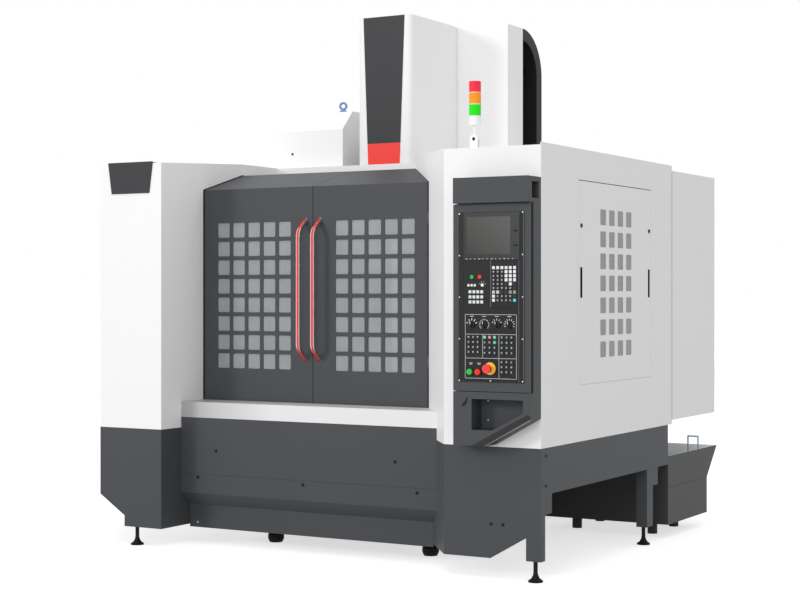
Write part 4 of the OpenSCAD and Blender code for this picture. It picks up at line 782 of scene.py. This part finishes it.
def block_edges():
    shape = bmesh.new()
    for x0, x1 in ((26, 180), (184, 331)):
        border(shape, x0, x1, 376, 610, 1.4, 1.2)
    return piece("block_edges", shape, knob_black, "panel_door", 0.0003)


def film_edges():
    shape = bmesh.new()
    rule(shape, 363.4, 6, 363.4, 846, 1.6, 1.0)
    rule(shape, 337, 6, 337, 846, 1.2, 0.8)
    rule(shape, 182, 378, 182, 608, 2.0, 1.4)
    return piece("film_edges", shape, pale_trim, "panel_door", 0.0002)


def soft_keys():
    shape = bmesh.new()
    for i in range(12):
        long = 7 if i % 3 else 11
        on_bezel(shape, 42 + i * 23.5, 42 + i * 23.5 + long, 618, 2.6)
    for i in range(3):
        slab(shape, on_panel(50 + i * 18, 480, 0.8), on_panel(62 + i * 18, 492, 0.05))
    return piece("soft_keys", shape, legend, "panel_door", 0.0002)


def bezel_slots():
    shape = bmesh.new()
    for z in (756, 684):
        on_bezel(shape, 311, 332, z, 6)
    return piece("bezel_slots", shape, slot_black, "panel_door")


key_switch = heads("key_switch", [on_panel(136, 487, 0.2)], 0.010, 0.005, TO_FRONT, bright_screw, "panel_door")
switch_scale = grow("key_switch_scale", [on_panel(136, 487, 0.35)], strokes, {
    "Strokes": 4, "Half sweep": 1.2, "Arc radius": 0.017, "Stroke size": (0.006, 0.002, 0.0006),
    "Finish": legend.material}, "panel_door")
tell("film:", [key_switch, switch_scale, film_rules(), block_edges(), film_edges(), soft_keys(), bezel_slots()])

# %% [markdown]
# ## Marks on the dark keys
# Dark keys carry a pale mark each. The marks are plain short bars, two lengths by turns.


# %% Bars on the keys
def key_marks():
    shape = bmesh.new()
    top, under = 3.35, 2.9
    left_part = [(c, r) for r in (1, 3, 4, 6, 7, 5) for c in range(3)]
    pale = {"keyboard": left_part + [(c, r) for r in (0, 1, 3) for c in range(1, 5)]}
    for grid in ("axis_keys", "mode_keys", "jog_keys", "small_keys"):
        columns, rows = key_grids[grid][1]
        pale[grid] = [(c, r) for c in range(columns) for r in range(rows)]
    for grid, places in pale.items():
        for column, row in places:
            x, z = key_at(grid, column, row)
            long = 4.6 if (column + row) % 2 else 3.2
            slab(shape, on_panel(x - long, z + 0.6, top), on_panel(x + long, z + 2.8, under))
            slab(shape, on_panel(x - 3.0, z - 3.8, top), on_panel(x + 3.0, z - 1.8, under))
    return piece("key_marks", shape, legend, "panel_door")


print("marks:", len(key_marks().data.polygons) // 6)

# %% [markdown]
# ## Lifting eye on the tool magazine
# A blue lifting eye stands on the magazine's top, close to its right front corner. It is a ring on a turned collar,
# so both are spun from short profiles. One screw of the cover and the pin of the folding tower use the screw tree.


# %% Turning a profile round an axis
def turned(shape, profile, centre, segments=32):
    """Spins (radius, height) points round a vertical axis through centre."""
    verts = [shape.verts.new(Vector(centre) + Vector((r, 0, h))) for r, h in profile]
    edges = [shape.edges.new(pair) for pair in zip(verts, verts[1:])]
    bmesh.ops.spin(shape, geom=verts + edges, cent=centre, axis=(0, 0, 1), angle=2 * math.pi, steps=segments,
                   use_merge=True)


def ring(shape, centre, radius, tube, axis_turn, segments=32, sides=12):
    rows = []
    for i in range(segments):
        a = 2 * math.pi * i / segments
        row = []
        for j in range(sides):
            b = 2 * math.pi * j / sides
            r = radius + tube * math.cos(b)
            local = Vector((r * math.cos(a), tube * math.sin(b), r * math.sin(a)))
            row.append(shape.verts.new(Vector(centre) + Matrix.Rotation(axis_turn, 3, "Z") @ local))
        rows.append(row)
    for i in range(segments):
        for j in range(sides):
            shape.faces.new((rows[i][j], rows[i][(j + 1) % sides], rows[(i + 1) % segments][(j + 1) % sides],
                             rows[(i + 1) % segments][j]))


def lifting_eye(name, spot):
    shape = bmesh.new()
    turned(shape, [(0.0, 0.0005), (0.024, 0.0005), (0.024, 0.008), (0.018, 0.011), (0.012, 0.016), (0.010, 0.024),
                   (0.0, 0.024)], spot)
    ring(shape, Vector(spot) + Vector((0, 0, 0.040)), 0.020, 0.0072, 0.4)
    return piece(name, shape, eye_paint, "machine_base")


eye_paint = moulded("blue_eye_paint", srgb(116, 146, 188), 0.35)
magazine_low, magazine_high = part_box("magazine_cover")
eye_bolt = lifting_eye("lifting_eye", (magazine_high.x - 0.088, magazine_low.y + 0.150, magazine_high.z))
cover_screws = heads("magazine_screws", [(magazine_high.x - 0.375, magazine_low.y - CLEAR, 2.336)], 0.008, 0.004,
                     TO_FRONT, black_screw)
fork_low, fork_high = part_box("tower_bracket")
fork_middle, fork_half, knuckle = (fork_low + fork_high) / 2, 0.0160, 0.0220
pin_head = heads("tower_pin_head", [(fork_middle.x, fork_middle.y - fork_half - CLEAR, fork_high.z - knuckle)],
                 0.009, 0.003, TO_FRONT, black_screw)
tell("roof:", [eye_bolt, cover_screws, pin_head])

# %% [markdown]
# ## Pocket trim and door seals
# A dark strip on the slanting foot of the pocket is painted shade of its bevel, with a pale folded edge along it,
# and a small hook hangs left of the opening. The doors meet the enclosure with black seals. All of them are thin
# strips, so each is an outline with a thickness.


# %% Pocket trim
def pocket_trim(name, strips, finish, lift=CLEAR, bevel=0.0):
    """Strips on the pocket's front: a thickness and an outline (x, z) for each."""
    shape = bmesh.new()
    for thickness, outline in strips:
        prism(shape, [(x, pocket_low.y - lift, z) for x, z in outline], (0, -thickness, 0))
    return piece(name, shape, finish, "machine_base", bevel)


pocket_low, pocket_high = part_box("pocket_housing")
foot, edge, sheet = pocket_low.z + 0.001, pocket_high.x - 0.001, 0.0008
# The dark strip on the pocket's slanted foot stands for the shade on its bevel: painted shade.
bevel_shade_outline = [(1.287, foot), (1.362, foot), (edge, 0.8225), (edge, 0.842), (1.596, 0.850)]
fold_outline = [(1.3585, foot), (1.3635, foot), (edge, 0.8225), (edge, 0.8265)]
hook_outline = [(1.229, 0.882), (1.240, 0.884), (1.254, 0.896), (1.257, 0.908), (1.249, 0.908), (1.241, 0.901),
                (1.236, 0.892)]
tip_outline = [(1.250, 0.909), (1.256, 0.909), (1.262, 0.927), (1.259, 0.928)]
tell("pocket:", [
    heads("pocket_screws", [(1.325, -1.2452, z) for z in (0.808, 0.906)], 0.005, 0.003, TO_FRONT, bright_screw),
    pocket_trim("pocket_bevel_shade", [(sheet, bevel_shade_outline)], hood_coat),
    pocket_trim("pocket_edge", [(sheet, fold_outline)], pale_trim, 0.0011),
    pocket_trim("pocket_hook", [(0.006, hook_outline), (0.004, tip_outline)], black_screw,
                bevel=0.0008)])


# %% Door seals
def door_seal(name, x0, x1, gaps):
    """Brush strip just in front of a door and along its sloped top, open where a handle foot passes."""
    low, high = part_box("left_door")
    fold, start, off_door = 2.060, low.z + 0.036, 0.0008
    back, front, end = low.y - off_door, low.y - 0.0040, high.y - 0.002
    shape = bmesh.new()
    for stop, resume in gaps + [(fold, None)]:
        slab(shape, (x0, front, start), (x1, back, stop))
        start = resume
    top = [(x0, back, fold + 0.001), (x1, back, fold + 0.001), (x1, end, high.z + 0.001), (x0, end, high.z + 0.001)]
    prism(shape, top, (0, -off_door, 0.003))
    return piece(name, shape, slot_black, "machine_base")


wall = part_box("roof_rim")[0].x
feet = [(1.045, 1.105), (1.835, 1.895)]
seals = [door_seal("left_door_seal", wall + 0.0003, wall + 0.008, []),
         door_seal("right_door_seal", 0.7465, 0.7515, feet)]
tell("seals:", seals)

# %% [markdown]
# ## The right side
# The lift-off panel has a black pull cup and a lock at each edge, a black strip in the gap along its top that is
# painted shadow, and panes that sit almost flush in their openings. A pale strip covers the joint to the rear
# cabinet.
# The panes repeat in a grid, so a tree fills one rounded outline, gives it a thickness and sets a copy on each point.


# %% Tree of rounded panes
def pane_tree():
    tree, given, out = new_tree("flush_panes", [
        ("Pane height", "NodeSocketFloat", 0.0844), ("Pane width", "NodeSocketFloat", 0.0794),
        ("Corner radius", "NodeSocketFloat", 0.009), ("Thickness", "NodeSocketFloat", 0.005),
        ("Facing", "NodeSocketVector", (0.0, 0.0, 0.0)), ("Finish", "NodeSocketMaterial", None)])
    outline = tree_node(tree, "GeometryNodeCurvePrimitiveQuadrilateral", {"mode": "RECTANGLE"}, {
        "Width": given.outputs["Pane height"], "Height": given.outputs["Pane width"]})
    rounded = tree_node(tree, "GeometryNodeFilletCurve", {"mode": "POLY"}, {
        "Curve": outline.outputs[0], "Count": 3, "Radius": given.outputs["Corner radius"]})
    face = tree_node(tree, "GeometryNodeFillCurve", {"mode": "NGONS"}, {"Curve": rounded.outputs[0]})
    raised = tree_node(tree, "GeometryNodeExtrudeMesh", {"mode": "FACES"}, {
        "Mesh": face.outputs[0], "Offset Scale": given.outputs["Thickness"], "Individual": False})
    back = tree_node(tree, "GeometryNodeFlipFaces", inputs={"Mesh": face.outputs[0]})
    both = tree_node(tree, "GeometryNodeJoinGeometry")
    for part in (raised, back):
        tree.links.new(part.outputs[0], both.inputs[0])
    closed = tree_node(tree, "GeometryNodeMergeByDistance", inputs={"Geometry": both.outputs[0], "Distance": 1e-5})
    turn = tree_node(tree, "FunctionNodeEulerToRotation", inputs={"Euler": given.outputs["Facing"]})
    copies = tree_node(tree, "GeometryNodeInstanceOnPoints", inputs={
        "Points": given.outputs["Geometry"], "Instance": closed.outputs[0], "Rotation": turn.outputs[0]})
    close_tree(tree, copies.outputs[0], given.outputs["Finish"], out)
    return tree


panes = pane_tree()
print("pane tree inputs:", [s.name for s in panes.interface.items_tree if s.in_out == "INPUT"])


# %% Panes, cups, locks and strips
side_low, side_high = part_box("side_access_panel")
side_middle = (side_low.y + side_high.y) / 2
cup_reach = 0.4825
cup_places = [side_middle - cup_reach, side_middle + cup_reach]


def pull_cups(z=1.508, half_y=0.0137, half_z=0.0802, wall=0.0012):
    shape = bmesh.new()
    deep, top = side_high.x - 0.030, side_high.x - 0.0004
    half = wall / 2
    for y in cup_places:
        slab(shape, (deep, y - half_y, z - half_z), (deep + wall, y + half_y, z + half_z))
        for s in (-1, 1):
            at_y, at_z = y + s * (half_y - half), z + s * (half_z - half)
            slab(shape, (deep + wall, at_y - half, z - half_z), (top, at_y + half, z + half_z))
            slab(shape, (deep + wall, y - half_y + wall, at_z - half), (top, y + half_y - wall, at_z + half))
    return piece("pull_cups", shape, slot_black, "machine_base")


def side_strips():
    gap_shadow, joint = bmesh.new(), bmesh.new()
    # The black strip in the gap along the panel's top stands for the gap's shadow: painted shadow.
    slab(gap_shadow, (side_high.x - 0.0036, side_low.y + 0.016, side_high.z - 0.0187),
         (side_high.x - 0.0002, side_high.y - 0.016, side_high.z - 0.0153))
    low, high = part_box("electrical_cabinet")
    slab(joint, (high.x + 0.0002, low.y - 0.0025, low.z + 0.002), (high.x + 0.0010, low.y + 0.0025, high.z - 0.002))
    return (piece("access_gap_shadow", gap_shadow, slot_black, "machine_base"),
            piece("cabinet_joint", joint, pale_trim, "machine_base"))


pane_low, pane_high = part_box("side_window")
pane_middle = (pane_low + pane_high) / 2
pitch_y, pitch_z, sunk = 0.122, 0.119, 0.0062
pane_places = [(side_high.x - sunk, pane_middle.y + (column - 1.5) * pitch_y, pane_middle.z + (row - 3) * pitch_z)
               for column in range(4) for row in range(7)]
side_panes = grow("side_panes", pane_places, panes, {"Facing": TO_RIGHT, "Finish": window.material},
                  "machine_base")
side_locks = heads("side_locks", [(side_high.x + CLEAR, y, 1.808) for y in cup_places], 0.0125, 0.004, TO_RIGHT,
                   black_screw)
tell("right side:", [side_panes, side_locks, pull_cups(), *side_strips()])

# %% [markdown]
# ## Back and left side
# The sheets of the back and the left side are screwed along their edges, and the rear cabinet's latch is black. The
# screw tree serves again: only the places and the facing differ.

# %% Screws of the back and the left side, and the latch
TO_BACK, TO_LEFT = (-math.pi / 2, 0.0, 0.0), (0.0, -math.pi / 2, 0.0)
box_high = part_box("left_cabinet")[1]
wall_low, wall_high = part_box("left_side_panel")
back_places = [(x, z) for x in (-1.58, -1.32, -1.06, -0.80) for z in (0.710, 1.700)]
back_places += [(-1.58, z) for z in (1.040, 1.370, 2.030)] + [(0.96, z) for z in (0.710, 1.150, 1.600, 2.030)]
back_screws = heads("back_screws", [(x, box_high.y + CLEAR, z) for x, z in back_places], 0.008, 0.004, TO_BACK,
                    black_screw)
left_places = [(wall_low.x - CLEAR, y, z) for y in (wall_low.y + 0.035, wall_high.y - 0.035)
               for z in (0.730, 1.070, 1.410, 1.750, 2.090)]
left_screws = heads("left_side_screws", left_places, 0.008, 0.004, TO_LEFT, black_screw)


def latch_cover():
    low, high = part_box("cabinet_door")
    x, z, half_x, half_z = low.x + 0.056, (low.z + high.z) / 2, 0.0155, 0.0715
    shape = bmesh.new()
    slab(shape, (x - half_x, high.y - 0.0118, z - half_z), (x + half_x, high.y + 0.0014, z + half_z))
    return piece("latch_cover", shape, knob_black, "cabinet_door", 0.003)


tell("back and left:", [back_screws, left_screws, latch_cover()])

# %% [markdown]
# ## Floor, background and light
# The photograph is a studio cut-out: white all round, bright from the front left, with the right side in open shade.
# A pale world lights every side, a soft box from the left adds the bright front, a weaker one from the right fills
# the doors, and one above lifts the roof. Camera rays see plain white. The floor keeps the shadow: it adds its lit
# surface to a part of its own glow.


# %% World
def studio_world(strength):
    world = bpy.data.worlds.new("studio")
    world.use_nodes = True
    tree = world.node_tree
    tree.nodes.clear()
    rays = tree_node(tree, "ShaderNodeLightPath").outputs
    seen = tree_node(tree, "ShaderNodeMath", {"operation": "MAXIMUM"}, {
        0: rays["Is Camera Ray"], 1: rays["Is Glossy Ray"]})
    through = tree_node(tree, "ShaderNodeMath", {"operation": "MAXIMUM"}, {
        0: seen.outputs[0], 1: rays["Is Transmission Ray"]})
    light = tree_node(tree, "ShaderNodeBackground", inputs={"Color": (1, 1, 1, 1), "Strength": strength})
    white = tree_node(tree, "ShaderNodeBackground", inputs={"Color": (1, 1, 1, 1)})
    mix = tree_node(tree, "ShaderNodeMixShader", inputs={
        0: through.outputs[0], 1: light.outputs[0], 2: white.outputs[0]})
    tree_node(tree, "ShaderNodeOutputWorld", inputs={0: mix.outputs[0]})
    bpy.context.scene.world = world
    return light.inputs["Strength"].default_value


print("world strength:", round(studio_world(0.72), 2))


# %% Floor
def studio_floor():
    paint = Finish("pale_floor", (0.6, 0.6, 0.6, 1), 0.9)
    paint.set("Specular IOR Level", 0.0)
    seen = paint.add("ShaderNodeLightPath", output="Is Camera Ray")
    mirrored = paint.add("ShaderNodeLightPath", output="Is Glossy Ray")
    through = paint.add("ShaderNodeLightPath", output="Is Transmission Ray")
    paint.set("Emission Color", (seen + mirrored + through) * 0.66)
    paint.set("Emission Strength", 1.0)
    shape = bmesh.new()
    bmesh.ops.create_grid(shape, x_segments=1, y_segments=1, size=60)
    mesh = bpy.data.meshes.new("studio_floor")
    shape.to_mesh(mesh)
    shape.free()
    mesh.materials.append(paint.material)
    floor = bpy.data.objects.new("studio_floor", mesh)
    floor.location.z = -0.001
    bpy.context.scene.collection.objects.link(floor)
    return floor


print("floor:", studio_floor().name)


# %% Lamps
def soft_box(name, spot, target, size, watts):
    lamp = bpy.data.lights.new(name, "AREA")
    lamp.shape, lamp.size, lamp.size_y, lamp.energy = "RECTANGLE", size[0], size[1], watts
    thing = bpy.data.objects.new(name, lamp)
    thing.location = spot
    thing.rotation_euler = (Vector(target) - Vector(spot)).to_track_quat("-Z", "Y").to_euler()
    bpy.context.scene.collection.objects.link(thing)
    return thing


soft_box("front_left_box", (-9.0, -16.0, 7.0), (-0.2, -0.6, 1.2), (3.4, 3.2), 790)
soft_box("front_right_box", (3.6, -12.0, 4.0), (0, -0.6, 1.3), (4, 4), 280)
soft_box("top_box", (0.5, -1.0, 8.0), (0, 0, 1), (7, 7), 150)

# %% [markdown]
# ## Camera
# The photograph was taken level, from the right front corner, at about the height of a standing person's chest. The
# place and the focal length come from fitting the straight edges of the machine. The small shift only moves the
# frame.

# %% Camera
eye = bpy.data.cameras.new("photo_camera")
eye.sensor_fit, eye.sensor_width, eye.lens = "HORIZONTAL", 36.0, 75.5
eye.shift_y = -0.00925
eye.clip_end = 200
camera = bpy.data.objects.new("photo_camera", eye)
camera.location = (5.1676, -8.8675, 1.455)
camera.rotation_euler = (math.pi / 2, 0, math.radians(29.77))
bpy.context.scene.collection.objects.link(camera)
bpy.context.scene.camera = camera
bpy.context.scene.view_settings.view_transform = "Standard"
print("camera", [round(v, 3) for v in camera.location], "lens", eye.lens)

# %% [markdown]
# ## Last update
# The view layer is updated once every piece is in place.

# %% Finish
bpy.context.view_layer.update()
